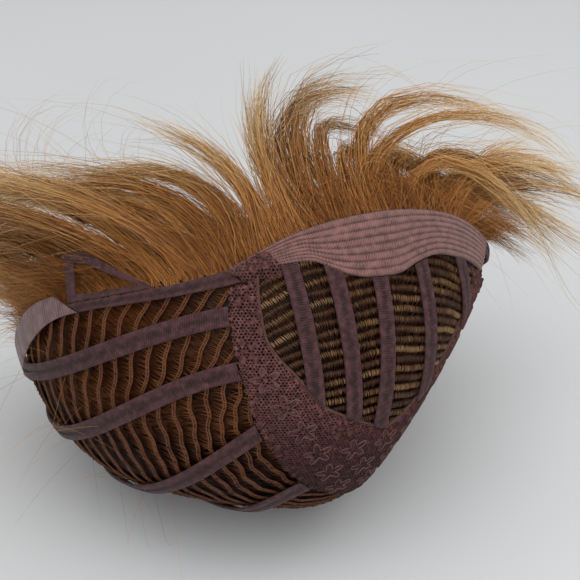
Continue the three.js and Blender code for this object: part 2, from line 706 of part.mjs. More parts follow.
const ribbonInner = (bearing) => rimAt(bearing) - RIBBON_WIDTH;
const elasticOuter = (bearing) => rimAt(bearing) + ELASTIC_RISE;
const edgePiece = (from, to, steps, far) => cloth(rimStrip(from, to, steps, ribbonInner, far));
piece('edge_ribbon_left', edgePiece(LEFT_EDGE.temple + 0.5, LEFT_EDGE.ear - 0.2, 10, rimAt), 'ribbon');
piece('edge_ribbon_right', edgePiece(RIGHT_EDGE.ear + 0.2, RIGHT_EDGE.temple - 0.5, 10, rimAt), 'ribbon');
piece('nape_elastic_left', edgePiece(LEFT_EDGE.ear + 0.2, LEFT_EDGE.nape - 0.2, 14, elasticOuter), 'elastic');
piece(
  'nape_elastic_right',
  edgePiece(RIGHT_EDGE.nape + 0.2, RIGHT_EDGE.ear - 0.2, 14, elasticOuter),
  'elastic',
);
piece('nape_ribbon', edgePiece(LEFT_EDGE.nape + 0.2, 360 + RIGHT_EDGE.nape - 0.2, 14, rimAt), 'ribbon');
piece('ear_tab_left', cloth(earTabGrid(LEFT_EDGE.tab, LEFT_EDGE.ear - 0.6), true), 'ribbon');
piece('ear_tab_right', cloth(earTabGrid(RIGHT_EDGE.tab, RIGHT_EDGE.ear + 0.6), true), 'ribbon');

piece('hair_inner_crown', geometryOfFacets(wall(crownHair(20, 3), HAIR_LAYER, true)), 'hair');
for (const sector of HAIR_SECTORS) {
  piece(`hair_inner_${sector.name}`, geometryOfFacets(wall(sectorHair(sector), HAIR_LAYER)), 'hair');
}
piece('hair_locks', hairLocks(), 'hair');

// The origin lies on the floor under the middle of the whole.
const whole = new THREE.Box3().setFromObject(wig);
const middle = whole.getCenter(new THREE.Vector3());
wig.children.forEach((mesh) => mesh.geometry.translate(-middle.x, -middle.y, 0));

export default wig;
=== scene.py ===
# %% [markdown]
# # A short layered wig, turned inside out
# The real thing is a cap of sewn hair rows, ribbons, lace and a velvet front band. It lies on its
# back like a bowl, with the inside of the cap facing the viewer and the hair spilling out on top.
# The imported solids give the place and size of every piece. Each one is rebuilt finer here.

import bpy
import numpy as np
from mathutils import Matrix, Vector


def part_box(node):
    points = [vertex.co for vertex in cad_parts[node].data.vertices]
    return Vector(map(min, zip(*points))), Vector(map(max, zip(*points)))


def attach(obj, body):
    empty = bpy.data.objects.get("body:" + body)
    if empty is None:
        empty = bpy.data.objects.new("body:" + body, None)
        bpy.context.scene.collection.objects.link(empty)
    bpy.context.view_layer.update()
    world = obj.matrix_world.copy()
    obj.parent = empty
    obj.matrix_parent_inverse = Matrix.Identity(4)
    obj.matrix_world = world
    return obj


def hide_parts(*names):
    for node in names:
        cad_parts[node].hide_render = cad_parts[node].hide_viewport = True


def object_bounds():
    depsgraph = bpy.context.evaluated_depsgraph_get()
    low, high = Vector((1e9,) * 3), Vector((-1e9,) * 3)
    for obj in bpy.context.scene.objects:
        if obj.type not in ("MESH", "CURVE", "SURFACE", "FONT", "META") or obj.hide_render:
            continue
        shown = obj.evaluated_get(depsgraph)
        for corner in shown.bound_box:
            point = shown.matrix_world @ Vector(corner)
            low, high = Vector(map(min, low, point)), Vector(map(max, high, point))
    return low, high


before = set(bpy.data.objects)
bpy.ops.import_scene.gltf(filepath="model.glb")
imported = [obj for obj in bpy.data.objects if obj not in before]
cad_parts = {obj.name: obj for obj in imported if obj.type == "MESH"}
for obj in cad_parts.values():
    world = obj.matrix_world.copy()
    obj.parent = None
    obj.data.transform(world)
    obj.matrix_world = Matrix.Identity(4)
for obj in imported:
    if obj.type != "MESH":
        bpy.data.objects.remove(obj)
cad_box = [list(corner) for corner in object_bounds()]
print("solids:", len(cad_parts))

# %% [markdown]
# ## The chart of the cap
# A cap is sewn from flat cloth and then pulled over a dome. So each piece is drawn on a flat chart
# about the crown, p toward the wearer's left and q toward the forehead, and bent over a slack dome.
# Drawing straight in space would be possible, but then nothing would stay at an even height.

# %% The dome and how it lies
MM = 0.001
CHART_RADIUS = 88.0
DOME_AXES = np.array([88.0, 92.0, 80.0])
CROWN_AZIMUTH, CROWN_TILT, FRONT_ROLL = np.radians([31.9, 4.56, -6.18])
CLOTH_INNER, CLOTH_OUTER = 1.0, 2.1
FLOOR_REACH, FLOOR_SETTLE = 69.2, 0.3
DOME_HEIGHT = FLOOR_REACH + CLOTH_OUTER - FLOOR_SETTLE
SLACK_SIDES = [  # toward, reach, softness
    ((0.86, -0.255, -0.442), 68.5, 4.0),
    ((-0.15, -0.49, -0.86), 76.5, 3.0),
    ((0.0, 0.0, -1.0), FLOOR_REACH, 0.7),
]


def unit(vectors):
    return vectors / np.linalg.norm(vectors, axis=-1, keepdims=True)


CROWN = np.array([
    np.cos(CROWN_TILT) * np.sin(CROWN_AZIMUTH),
    -np.cos(CROWN_TILT) * np.cos(CROWN_AZIMUTH),
    np.sin(CROWN_TILT),
])
steep = unit(np.array([0.0, 0.0, 1.0]) - CROWN * CROWN[2])
FOREHEAD = steep * np.cos(FRONT_ROLL) + np.cross(CROWN, steep) * np.sin(FRONT_ROLL)
LEFT = np.cross(CROWN, FOREHEAD)
print("the crown points to", CROWN.round(2))

# %% Bending the chart over the dome
TINY = 1e-9
shift = np.zeros(3)


def on_dome(spots, height):
    """Chart points in mm to points in space in mm, raised by a height off the dome."""
    p, q = spots[..., 0], spots[..., 1]
    distance = np.maximum(np.hypot(p, q), TINY)
    angle = distance / CHART_RADIUS
    way = (np.cos(angle)[..., None] * CROWN
           + (np.sin(angle) * p / distance)[..., None] * LEFT
           + (np.sin(angle) * q / distance)[..., None] * FOREHEAD)
    place = way * DOME_AXES
    normal = unit(way / DOME_AXES)
    for toward, reach, softness in SLACK_SIDES:
        toward = unit(np.array(toward))
        half = (reach - place @ toward) / 2
        root = np.hypot(half, softness)
        give = 0.5 + 0.5 * half / root
        place = place + (half - root)[..., None] * toward
        normal = unit(normal + ((1 / give - 1) * (normal @ toward))[..., None] * toward)
    place = place + normal * np.broadcast_to(height, p.shape)[..., None]
    place[..., 2] = np.maximum(place[..., 2] + DOME_HEIGHT, 0)
    return place + shift


def steps_along(line, height=0.0):
    """The length of each step of a line of chart points on the dome, in mm."""
    return np.linalg.norm(np.diff(on_dome(line, height), axis=0), axis=-1)


def runs_along(line):
    """The run at each point of a line of chart points on the dome, in mm."""
    return np.concatenate([[0], np.cumsum(steps_along(line))])


chart_step = np.array([[0, 0], [0, 10]])
print("10 mm on the chart make", steps_along(chart_step)[0].round(2), "mm at the crown")


# %% Distances, bearings and smooth tables
def polar(distance, bearing):
    turn = np.radians(bearing)
    return np.stack([distance * np.sin(turn), distance * np.cos(turn)], -1)


def bearing_of(spots):
    return np.degrees(np.arctan2(spots[..., 0], spots[..., 1]))


def distance_of(spots):
    return np.hypot(spots[..., 0], spots[..., 1])


def curve_of(table, column):
    """A smooth curve through a table whose first column is the bearing."""
    table = np.array(table, float)
    x, y = table[:, 0], table[:, column]
    rows = np.arange(len(x))
    before, after = np.maximum(rows - 1, 0), np.minimum(rows + 1, len(x) - 1)
    slope = (y[after] - y[before]) / (x[after] - x[before])

    def at(bearing):
        here = np.clip(bearing, x[0], x[-1])
        i = np.clip(np.searchsorted(x, here) - 1, 0, len(x) - 2)
        span = x[i + 1] - x[i]
        t = (here - x[i]) / span
        rise = t * t * (3 - 2 * t)
        bend = slope[i] * t * (1 - t) ** 2 + slope[i + 1] * t * t * (t - 1)
        return y[i] * (1 - rise) + y[i + 1] * rise + bend * span

    return at


print("10 mm out at bearing 90 is the chart point", polar(10, 90).round(2))


# %% Outlines on the chart: bearing 0 is the forehead, 90 the wearer's left
RIM = [  # bearing, edge
    (-180, 212), (-150, 204), (-125, 183), (-105, 148), (-92, 118), (-80, 95), (-70, 82),
    (-56, 73.5), (-38, 68.3), (-20, 64.8), (0, 64), (15, 65.6), (28, 68.2), (38, 70.6),
    (48, 74.2), (56, 82), (63, 92), (69.5, 104.5), (74, 115), (81, 130.5), (87.5, 140.5),
    (102, 158), (130, 190), (155, 207), (180, 212),
]
BAND = [  # bearing, inner edge
    (-62, 60), (-42, 53.2), (-27, 49.5), (-17, 45.7), (-6.6, 42), (3.5, 42.1), (12.4, 43.9),
    (19, 47.4), (24, 52.5), (27, 56.5), (36, 62.4), (43, 67), (48, 71.2),
]
LACE = [  # bearing, inner edge, outer edge
    (43, 66, 77), (50, 60, 72), (56, 55, 67.5), (62, 50, 63.5), (67, 44, 60.5), (72, 37.5, 57.5),
    (80, 32, 53.5), (90, 27, 50.5), (107, 19.5, 47), (130, 15, 45.6), (150, 14, 47), (180, 15, 54),
]
BAND_RIGHT, BAND_LEFT = BAND[0][0], BAND[-1][0]
LACE_START = LACE[0][0]
rim_at, band_at = curve_of(RIM, 1), curve_of(BAND, 1)
lace_inner_at, lace_outer_at = curve_of(LACE, 1), curve_of(LACE, 2)


def band_grid(steps, shares):
    """Chart points of the front band, from its inner edge at share 0 to the rim at share 1."""
    turns = np.linspace(BAND_RIGHT, BAND_LEFT, steps)[:, None]
    reach = band_at(turns) + (rim_at(turns) - band_at(turns)) * shares
    return polar(reach, np.broadcast_to(turns, reach.shape))


print("from the crown to the rim:", rim_at(0), "mm in front,", rim_at(180), "mm behind")

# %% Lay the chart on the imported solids
FIT_STEPS, FIT_COLUMNS = 27, 4
fit_spots = band_grid(FIT_STEPS, np.linspace(0, 1, FIT_COLUMNS))
drawn = np.concatenate([on_dome(fit_spots, h).reshape(-1, 3) for h in (CLOTH_INNER, CLOTH_OUTER)])
shift = np.array(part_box("front_band")[0]) / MM - drawn.min(0)
print("chart moved by", shift.round(3), "mm")

# %% [markdown]
# ## Camera, floor and light
# The photograph looks down at about 30 degrees onto a pale floor under soft light. The camera is
# set from the dome: its middle lies a little left of the picture's middle, which a small lens shift
# gives. One big soft lamp above and a stronger one in front, with a pale sky, keep shadows gentle.

# %% Camera
PICTURE = 580
VIEW_ELEVATION = np.radians(30.0)
VIEW_DISTANCE = 0.6
PIXELS_PER_MM = 2.7
DOME_PIXEL_X = 255
dome_centre = Vector((shift + np.array([0, 0, DOME_HEIGHT])) * MM)
back = Vector((0, -np.cos(VIEW_ELEVATION), np.sin(VIEW_ELEVATION)))
lens = bpy.data.cameras.new("view")
lens.sensor_width = 36
lens.lens = PIXELS_PER_MM * VIEW_DISTANCE / MM / PICTURE * lens.sensor_width
lens.shift_x = (PICTURE / 2 - DOME_PIXEL_X) / PICTURE
camera = bpy.data.objects.new("view", lens)
camera.location = dome_centre + back * VIEW_DISTANCE
camera.rotation_mode = "QUATERNION"
camera.rotation_quaternion = (-back).to_track_quat("-Z", "Y")
bpy.context.scene.collection.objects.link(camera)
bpy.context.scene.camera = camera
print("lens", round(lens.lens, 1), "mm")


# %% One helper for nodes, one for colours, one for materials
def linear(code):
    """An sRGB hex colour as linear red, green, blue and alpha."""
    parts = [int(code[i:i + 2], 16) / 255 for i in (1, 3, 5)]
    return [v / 12.92 if v <= 0.04045 else ((v + 0.055) / 1.055) ** 2.4 for v in parts] + [1.0]


def add(tree, kind, inputs=None, stops=(), **settings):
    """Adds a node, sets its options and colour stops, and gives its inputs values or links."""
    node = tree.nodes.new(kind)
    for key, value in settings.items():
        setattr(node, key, value)
    for key, value in (inputs or {}).items():
        if isinstance(value, bpy.types.NodeSocket):
            tree.links.new(value, node.inputs[key])
        else:
            node.inputs[key].default_value = value
    for _ in stops[2:]:
        node.color_ramp.elements.new(0.5)
    for i, (place, code) in enumerate(stops):
        node.color_ramp.elements[i].position = place
        node.color_ramp.elements[i].color = linear(code)
    return node


def new_material(name, **shader):
    """A named material, its tree and its shader with some sockets set."""
    material = bpy.data.materials.new(name)
    material.use_nodes = True
    tree = material.node_tree
    surface = tree.nodes["Principled BSDF"]
    for key, value in shader.items():
        surface.inputs[key.replace("_", " ")].default_value = value
    return material, tree, surface


print("mid grey in linear light:", round(linear("#808080")[0], 3))

# %% Floor
FLOOR_SIZE, FLOOR_DROP = 12.0, 0.0003
# Matte paper: pulp pressed flat, so it has no gloss and its tone clouds very slightly.
paper, tree, surface = new_material("matte_paper", Roughness=0.75)
place = add(tree, "ShaderNodeTexCoord").outputs["Object"]
cloud = add(tree, "ShaderNodeTexNoise", {"Vector": place, "Scale": 3.0, "Detail": 2.0})
tone = add(tree, "ShaderNodeValToRGB", {"Fac": cloud.outputs["Fac"]},
           [(0.3, "#cbcccd"), (0.7, "#cfd0d1")])
tree.links.new(tone.outputs["Color"], surface.inputs["Base Color"])
bpy.ops.mesh.primitive_plane_add(size=FLOOR_SIZE, location=(0, 0, -FLOOR_DROP))
floor = bpy.context.object
floor.name = "floor"
floor.data.materials.append(paper)
print("floor", FLOOR_SIZE, "m wide")

# %% Sky and lamps
world = bpy.data.worlds.new("soft_room")
bpy.context.scene.world = world
world.use_nodes = True
sky = world.node_tree.nodes["Background"]
sky.inputs["Color"].default_value = linear("#f4f6f7")
sky.inputs["Strength"].default_value = 0.45
LAMPS = [  # name, place, size, power
    ("lamp_above", (0.15, 0.2, 1.6), 2.2, 11.0),
    ("lamp_front", (0.1, -1.1, 1.2), 2.0, 27.0),
]
for name, spot, size, power in LAMPS:
    lamp = bpy.data.lights.new(name, "AREA")
    lamp.size = size
    lamp.energy = power
    holder = bpy.data.objects.new(name, lamp)
    holder.location = spot
    holder.rotation_euler = (dome_centre - Vector(spot)).to_track_quat("-Z", "Y").to_euler()
    bpy.context.scene.collection.objects.link(holder)
bpy.context.scene.view_settings.view_transform = "Standard"
print("lamps:", len(LAMPS))

# %% [markdown]
# ## Materials
# Everything here is cloth or fibre, so nothing is shiny like plastic, but each has its own surface:
# velvet has a nap, ribbon has ribs across it, elastic has slanting ribs and a satin gleam, and hair
# is smooth and glossy along its length. Patterns follow the piece by two numbers stored on its
# points, the run along it and the side across it, both in millimetres. Unwrapped UV maps could
# carry them too, but these numbers are at hand when a piece is made.

# %% Cloth finishes
TONE_PLACES = (0.2, 0.5, 0.8)
PAINTED_SHADE_DEPTH = 0.4
RIB_RELIEF, RIB_STRENGTH = 0.0003, 0.6


def cloth_material(name, tones, rib_pitch, slant, rib_depth, grain, **shader):
    """Cloth with slanted ribs at a pitch and a mottled colour, darker where painted shade is stored."""
    material, tree, surface = new_material(name, **shader)
    run, side, fold = (add(tree, "ShaderNodeAttribute", attribute_name=key).outputs["Fac"]
                       for key in ("run", "side", "fold"))
    lean = add(tree, "ShaderNodeMath", {0: side, 1: slant, 2: run}, operation="MULTIPLY_ADD")
    turn = add(tree, "ShaderNodeMath", {0: lean.outputs[0], 1: 2 * np.pi / rib_pitch},
               operation="MULTIPLY")
    rib = add(tree, "ShaderNodeMath", {0: turn.outputs[0]}, operation="SINE")
    place = add(tree, "ShaderNodeTexCoord").outputs["Object"]
    mottle = add(tree, "ShaderNodeTexNoise",
                 {"Vector": place, "Scale": 1 / (grain * MM), "Detail": 4.0})
    mixed = add(tree, "ShaderNodeMath",
                {0: rib.outputs[0], 1: rib_depth, 2: mottle.outputs["Fac"]}, operation="MULTIPLY_ADD")
    # Painted shade: the stored number darkens the colour in grooves and other shaded places.
    shaded = add(tree, "ShaderNodeMath", {0: fold, 1: -PAINTED_SHADE_DEPTH, 2: mixed.outputs[0]},
                 operation="MULTIPLY_ADD")
    colour = add(tree, "ShaderNodeValToRGB", {"Fac": shaded.outputs[0]}, list(zip(TONE_PLACES, tones)))
    bump = add(tree, "ShaderNodeBump", {"Height": mixed.outputs[0], "Distance": RIB_RELIEF,
                                        "Strength": RIB_STRENGTH})
    tree.links.new(colour.outputs["Color"], surface.inputs["Base Color"])
    tree.links.new(bump.outputs["Normal"], surface.inputs["Normal"])
    return material


# Rib pitches are drawn two to three times as wide as the real threads, so that they show.
# Velvet: a cut pile stands up from the cloth, so it is matte and pales where it is seen aslant.
velvet = cloth_material("napped_velvet", ("#432d2b", "#744e4a", "#8a615c"), rib_pitch=0.9, slant=0.0,
                        rib_depth=0.10, grain=3.0,
                        Roughness=0.95, Sheen_Weight=0.25, Sheen_Roughness=0.5)
# Ribbon: woven with a thick weft, so fine ribs run across it and its gloss is broken up.
ribbon = cloth_material("woven_ribbon", ("#281819", "#442a2c", "#573b3d"), rib_pitch=0.8, slant=0.0,
                        rib_depth=0.10, grain=2.0,
                        Roughness=0.85, Sheen_Weight=0.06, Specular_IOR_Level=0.2)
# Elastic: smooth thread over rubber, so its slanting ribs are deeper and have a satin gleam.
elastic = cloth_material("satin_elastic", ("#4c3434", "#634746", "#7a5c5a"), rib_pitch=1.3, slant=0.8,
                         rib_depth=0.22, grain=3.0,
                         Roughness=0.5, Sheen_Weight=0.1)
# Lace: dull twisted thread, so it looks mottled, and darker toward the back of the crown, partly where it
# lies double, partly as painted shade where it faces down.
lace = cloth_material("lace_net", ("#291717", "#4b2d2b", "#724c47"), rib_pitch=0.7, slant=0.5,
                      rib_depth=0.06, grain=1.4,
                      Roughness=0.9, Specular_IOR_Level=0.2)
print("cloths:", [cloth.name for cloth in (velvet, ribbon, elastic, lace)])


# %% Fibre finishes
def fibre_material(name, along_stops, tint_stops, **shader):
    """Fibre: its colour runs from root to tip, and each strand has its own tint."""
    material, tree, surface = new_material(name, **shader)
    shares = {"A": ("along", along_stops), "B": ("tint", tint_stops)}
    colours = {}
    for socket, (key, stops) in shares.items():
        number = add(tree, "ShaderNodeAttribute", attribute_name=key).outputs["Fac"]
        colours[socket] = add(tree, "ShaderNodeValToRGB", {"Fac": number}, stops).outputs["Color"]
    mixed = add(tree, "ShaderNodeMix", {"Factor": 1.0, **colours},
                data_type="RGBA", blend_type="MULTIPLY")
    tree.links.new(mixed.outputs["Result"], surface.inputs["Base Color"])
    return material


STRAND_TINTS = [(0.0, "#6f543e"), (0.35, "#c0a68c"), (0.7, "#f0e0cc"), (1.0, "#fffaf0")]
# Hair fibre is drawn smooth, so it is glossy, and it pales toward its tips: partly the fibre's own paler
# ends, partly painted light where light shines through them.
hair = fibre_material("glossy_hair_fibre",
                      [(0.0, "#b98349"), (0.3, "#bb864c"), (0.6, "#cb9e64"), (0.85, "#e4c998"),
                       (1.0, "#f8eed8")],
                      STRAND_TINTS, Roughness=0.4, Specular_IOR_Level=0.25)
# Hair inside the cap is the same fibre in the shade of the rows, so it is browner and duller.
inner_hair = fibre_material("inner_hair_fibre",
                            [(0.0, "#22120a"), (0.5, "#6b3f1b"), (1.0, "#875526")],
                            STRAND_TINTS, Roughness=0.5, Specular_IOR_Level=0.15)
# The fringe is bright where it leaves its cord and darker as painted shade where it dives under the next
# one.
fringe = fibre_material("fringe_hair_fibre",
                        [(0.0, "#7f5428"), (0.45, "#5c3718"), (1.0, "#180c06")],
                        STRAND_TINTS, Roughness=0.5, Specular_IOR_Level=0.15)
# A weft cord is fibre bound round and round with thread, so it is darker and less glossy.
weft = fibre_material("sewn_weft_fibre",
                      [(0.0, "#472a1f"), (0.5, "#674435"), (1.0, "#65422d")],
                      STRAND_TINTS, Roughness=0.6, Specular_IOR_Level=0.25)
# Crown loops bend over the cord: their crests are painted pale gold as painted highlight, and their ends
# dark as painted shade where they go under.
ROW_TINTS = [(0.0, "#5b4038"), (0.4, "#9c7f66"), (0.7, "#d8c6a8"), (1.0, "#efe6d2")]
painted_highlight_weft = fibre_material("painted_highlight_weft_fibre",
                             [(0.0, "#482d1b"), (0.5, "#978161"), (1.0, "#533522")],
                             ROW_TINTS, Roughness=0.45, Specular_IOR_Level=0.3)
print("fibres:", [fibre.name for fibre in (hair, inner_hair, fringe, weft, painted_highlight_weft)])

# %% Sewing threads
# Spun thread is matte, and it is painted darker at both ends, as shade where it goes into the cloth.
dark_thread, velvet_thread, lace_thread = (
    fibre_material(name, [(0.0, end), (0.5, middle), (1.0, end)], STRAND_TINTS, Roughness=roughness)
    for name, end, middle, roughness in (
        ("dark_sewing_thread", "#2a1d20", "#3a2a2d", 0.8),
        ("velvet_stitch_thread", "#7a5a57", "#96736f", 0.85),
        ("lace_edging_thread", "#5d4446", "#6b5052", 0.85)))
print("threads:", [thread.name for thread in (dark_thread, velvet_thread, lace_thread)])

# %% [markdown]
# ## Cloth pieces
# A strip of cloth is a closed shell between two grids of points: its top and its underside, joined
# round the edge. The columns crowd toward the edges, where the thickness falls away in a round, so
# that the strip looks like a folded or woven edge instead of a cut board. A Solidify modifier would
# give the thickness too, but not the round edges and the relief on top.


# %% From points to pieces
def store(mesh, **values):
    """Keeps numbers on the points of a mesh."""
    for name, value in values.items():
        layer = mesh.attributes.new(name, "FLOAT", "POINT")
        layer.data.foreach_set("value", np.asarray(value, np.float32).ravel())


def mesh_of(name, points, faces, smooth=True):
    """A mesh from points in mm and corner numbers."""
    mesh = bpy.data.meshes.new(name)
    mesh.from_pydata((points * MM).tolist(), [], list(faces))
    mesh.polygons.foreach_set("use_smooth", np.full(len(faces), smooth))
    mesh.update()
    return mesh


def object_of(name, mesh, material, slot, *nodes):
    """Links a finished mesh as a piece that rides with the wig and stands for some solids."""
    piece = bpy.data.objects.new(f"sewn_{name}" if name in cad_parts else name, mesh)
    bpy.context.scene.collection.objects.link(piece)
    if material:
        mesh.materials.clear()
        mesh.materials.append(material)
    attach(piece, "root")
    if nodes:
        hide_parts(*nodes)
    return piece


def faces_inward(points, quads):
    """True where a closed mesh is inside out, by the sign of its volume."""
    first, second, third = (points[quads[:, k]] for k in range(3))
    return np.einsum("ij,ij->", first, np.cross(second, third)) < 0


print("piece helpers:", [tool.__name__ for tool in (store, mesh_of, object_of, faces_inward)])


# %% Shells
def quads_of(first, second, third, fourth):
    return np.stack([first, second, third, fourth], -1).reshape(-1, 4)


def shell_mesh(name, top, under, run, side, closed=False):
    """A closed shell between two grids of points, which may run round on itself."""
    rows, columns = top.shape[:2]
    points = np.concatenate([top.reshape(-1, 3), under.reshape(-1, 3)])
    upper = np.arange(rows * columns).reshape(rows, columns)
    lower = upper + rows * columns
    a = np.arange(rows if closed else rows - 1)
    b = (a + 1) % rows
    faces = [
        quads_of(upper[a, :-1], upper[b, :-1], upper[b, 1:], upper[a, 1:]),
        quads_of(lower[a, :-1], lower[a, 1:], lower[b, 1:], lower[b, :-1]),
        quads_of(upper[a, 0], lower[a, 0], lower[b, 0], upper[b, 0]),
        quads_of(upper[a, -1], upper[b, -1], lower[b, -1], lower[a, -1]),
    ]
    if not closed:
        faces.append(quads_of(upper[0, :-1], upper[0, 1:], lower[0, 1:], lower[0, :-1]))
        faces.append(quads_of(upper[-1, :-1], lower[-1, :-1], lower[-1, 1:], upper[-1, 1:]))
    faces = np.concatenate(faces)
    if faces_inward(points, faces):
        faces = faces[:, ::-1]
    mesh = mesh_of(name, points, faces)
    store(mesh, run=np.tile(np.ravel(run), 2), side=np.tile(np.ravel(side), 2))
    return mesh


print("one face of a shell:", quads_of(0, 1, 2, 3).tolist())

# %% Strips
EDGE_ROUND, EDGE_LEAST = 12, 0.02


def across(count):
    """Places from -1 to 1 that crowd toward both edges."""
    return np.sin(np.linspace(-np.pi / 2, np.pi / 2, count))


def strip_mesh(name, spots, shares, relief=0.0, closed=False):
    """A cloth strip over a grid of chart points, with rounded edges and a relief on top."""
    middle = on_dome(spots, CLOTH_INNER)
    run, side = (np.cumsum(np.linalg.norm(np.diff(middle, axis=k, prepend=middle.take([0], k)), axis=-1),
                           axis=k) for k in range(2))
    left_over = np.sqrt(np.maximum(1 - np.abs(shares) ** EDGE_ROUND, EDGE_LEAST))
    thick = (CLOTH_OUTER - CLOTH_INNER) * left_over
    centre = (CLOTH_OUTER + CLOTH_INNER) / 2
    if callable(relief):
        relief = relief(run, side)
    top = on_dome(spots, centre + thick / 2 + relief)
    under = on_dome(spots, centre - thick / 2)
    return shell_mesh(name, top, under, run, side, closed)


def area_of(spots):
    """The area of a grid of chart points on the dome, in square metres."""
    place = on_dome(spots, CLOTH_INNER) * MM
    u, v = np.diff(place, axis=0)[:, :-1], np.diff(place, axis=1)[:-1]
    return float(np.linalg.norm(np.cross(u, v), axis=-1).sum())


print("five columns across a strip lie at", across(5).round(2))

# %% [markdown]
# ## Velvet front band
# The band is quilted in rows that follow the forehead edge. Cloth simulation could puff it up, but
# its rows are shallow and regular, so they are drawn as a relief across the strip.

# %% Front band
BAND_ROWS = 8
BAND_PUFF, PUFF_ROUND, GROOVE_WIDTH = 0.6, 0.6, 0.35
BAND_STEPS, BAND_COLUMNS = 150, 72
shares = across(BAND_COLUMNS)[None, :]
band_spots = band_grid(BAND_STEPS, (shares + 1) / 2)
band_v = np.broadcast_to((shares + 1) / 2, band_spots.shape[:2])
band_swell = np.sin(np.pi * BAND_ROWS * band_v)
band_relief = BAND_PUFF * (np.abs(band_swell) ** PUFF_ROUND - 1)
band_mesh = strip_mesh("front_band", band_spots, np.broadcast_to(shares, band_v.shape), band_relief)
# Painted shade in the grooves between the quilted rows.
band_groove_shade = np.exp(-(band_swell / GROOVE_WIDTH) ** 2)
store(band_mesh, fold=np.tile(band_groove_shade.ravel(), 2))
front_band = object_of("front_band", band_mesh, velvet, "velvet", "front_band")
area_of(band_spots)
print("band area", round(area_of(band_spots) * 1e4, 1), "cm2")


# %% [markdown]
# ## Ribbons
# Narrow ribbons run over the sewn rows from the lace to the rim and from the band to the lace. Each
# follows a path on the chart and is cut where it meets the lace, the band or the rim. A curve with
# a flat profile would be quicker, but it would not lie flat on the dome or end along those edges.

# %% Where ribbons may lie
RIBBON_WIDTH = 6.2
SEAM_GAP = 0.35
BAND_LAP = 1


def on_band(bearing):
    return (bearing >= BAND_RIGHT - BAND_LAP) & (bearing <= BAND_LEFT + BAND_LAP)


def cover_edge(bearing):
    """Where the band or the edge ribbon begins, as a distance from the crown."""
    at_ribbon = (bearing < BAND_RIGHT + BAND_LAP) | (bearing > BAND_LEFT - BAND_LAP)
    band = np.where(on_band(bearing), band_at(bearing), np.inf)
    return np.minimum(band, np.where(at_ribbon, rim_at(bearing) - RIBBON_WIDTH, np.inf))


def in_crown(spots):
    bearing = bearing_of(spots)
    lace = np.where(np.abs(bearing) < LACE_START, np.inf, lace_inner_at(np.abs(bearing)))
    return distance_of(spots) < np.minimum(lace, cover_edge(bearing)) - SEAM_GAP


def in_sides(spots):
    bearing, distance = bearing_of(spots), distance_of(spots)
    past_lace = distance > lace_outer_at(np.abs(bearing)) + SEAM_GAP
    return past_lace & (distance < cover_edge(bearing) - SEAM_GAP)


print("ribbons to the nape may run to", cover_edge(180), "mm from the crown")

# %% Cutting a ribbon along its path
RIBBON_COLUMNS = 11
CUT_STEPS = 801


def beside(path, t, offset):
    """Chart points a true distance to one side of a path."""
    here, ahead = path(t), path(t + 1e-3) - path(t - 1e-3)
    distance = np.maximum(distance_of(here), TINY)
    angle = distance / CHART_RADIUS
    squeeze = np.sin(angle) / angle
    outward = (ahead * here).sum(-1) / distance
    around = (ahead[..., 1] * here[..., 0] - ahead[..., 0] * here[..., 1]) / distance * squeeze
    length = np.hypot(outward, around)
    move_out, move_round = -around / length * offset, outward / length * offset / squeeze
    p, q = here[..., 0], here[..., 1]
    return np.stack([p + (move_out * p - move_round * q) / distance,
                     q + (move_out * q + move_round * p) / distance], -1)


def ribbon_grid(path, width, steps, allowed):
    """Chart points of a ribbon, each line cut where it leaves the allowed part."""
    fine = np.linspace(0, 1, CUT_STEPS)
    lines = []
    for share in across(RIBBON_COLUMNS):
        inside = allowed(beside(path, fine, share * width / 2))
        start = int(np.argmax(inside))
        rest = inside[start:]
        stop = start + (len(rest) if rest.all() else int(np.argmin(rest))) - 1
        t = np.linspace(fine[start], fine[stop], steps)
        lines.append(beside(path, t, share * width / 2))
    return np.stack(lines, 1)


print("a ribbon has", RIBBON_COLUMNS, "lines, each cut at one of", CUT_STEPS, "places")

# %% Sewing a ribbon on
SELVEDGE_RISE, SELVEDGE_PLACE, SELVEDGE_WIDTH, MIDDLE_SINK = 0.16, 0.82, 0.12, 0.05
SEAM_SHADE, SEAM_WIDTH = 0.55, 0.4
ribbon_lines = []


def sew_ribbon(name, spots, closed=False):
    """A ribbon over a grid of chart points, with proud selvedges and, if it is open, a seam down its sunk
    middle darkened as painted shade.
    """
    shares = np.broadcast_to(across(RIBBON_COLUMNS), spots.shape[:2])
    selvedge = np.exp(-((np.abs(shares) - SELVEDGE_PLACE) / SELVEDGE_WIDTH) ** 2)
    mesh = strip_mesh(name, spots, shares, SELVEDGE_RISE * selvedge - MIDDLE_SINK, closed)
    if not closed:
        # Painted shade down the sunk middle of the ribbon, between its proud selvedges.
        store(mesh, fold=np.tile(SEAM_SHADE * np.exp(-(shares / SEAM_WIDTH) ** 2).ravel(), 2))
        ribbon_lines.append(spots[:, RIBBON_COLUMNS // 2])
    object_of(name, mesh, ribbon, "ribbon", name)


print("selvedges stand", round(SELVEDGE_RISE - MIDDLE_SINK, 2), "mm proud")

# %% Ribbons across the crown and over the sides
STRAP_WIDTH, CROWN_STRAP_WIDTH = 6.5, 5.6
STRAP_STEPS, CROWN_STRAP_STEPS = 70, 30
STRAP_FRONT, STRAP_RUN, STRAP_OVERRUN = 60, 82, 1.3
CROWN_STRAPS = [(35.8, 28.5), (21.2, 15.8), (3.8, 4.4), (-14, -15), (-34.5, -40)]  # front, back
SIDE_STRAPS = [  # start, bend, end, turn of the right one
    ((52, 34), (103, 27), (158, -50), 16), ((52, 14), (104, 2), (144, -122), 9),
    ((46, -10), (84, -50), (102, -172), 3), ((25, -38), (54, -64), (44, -212), 0),
]


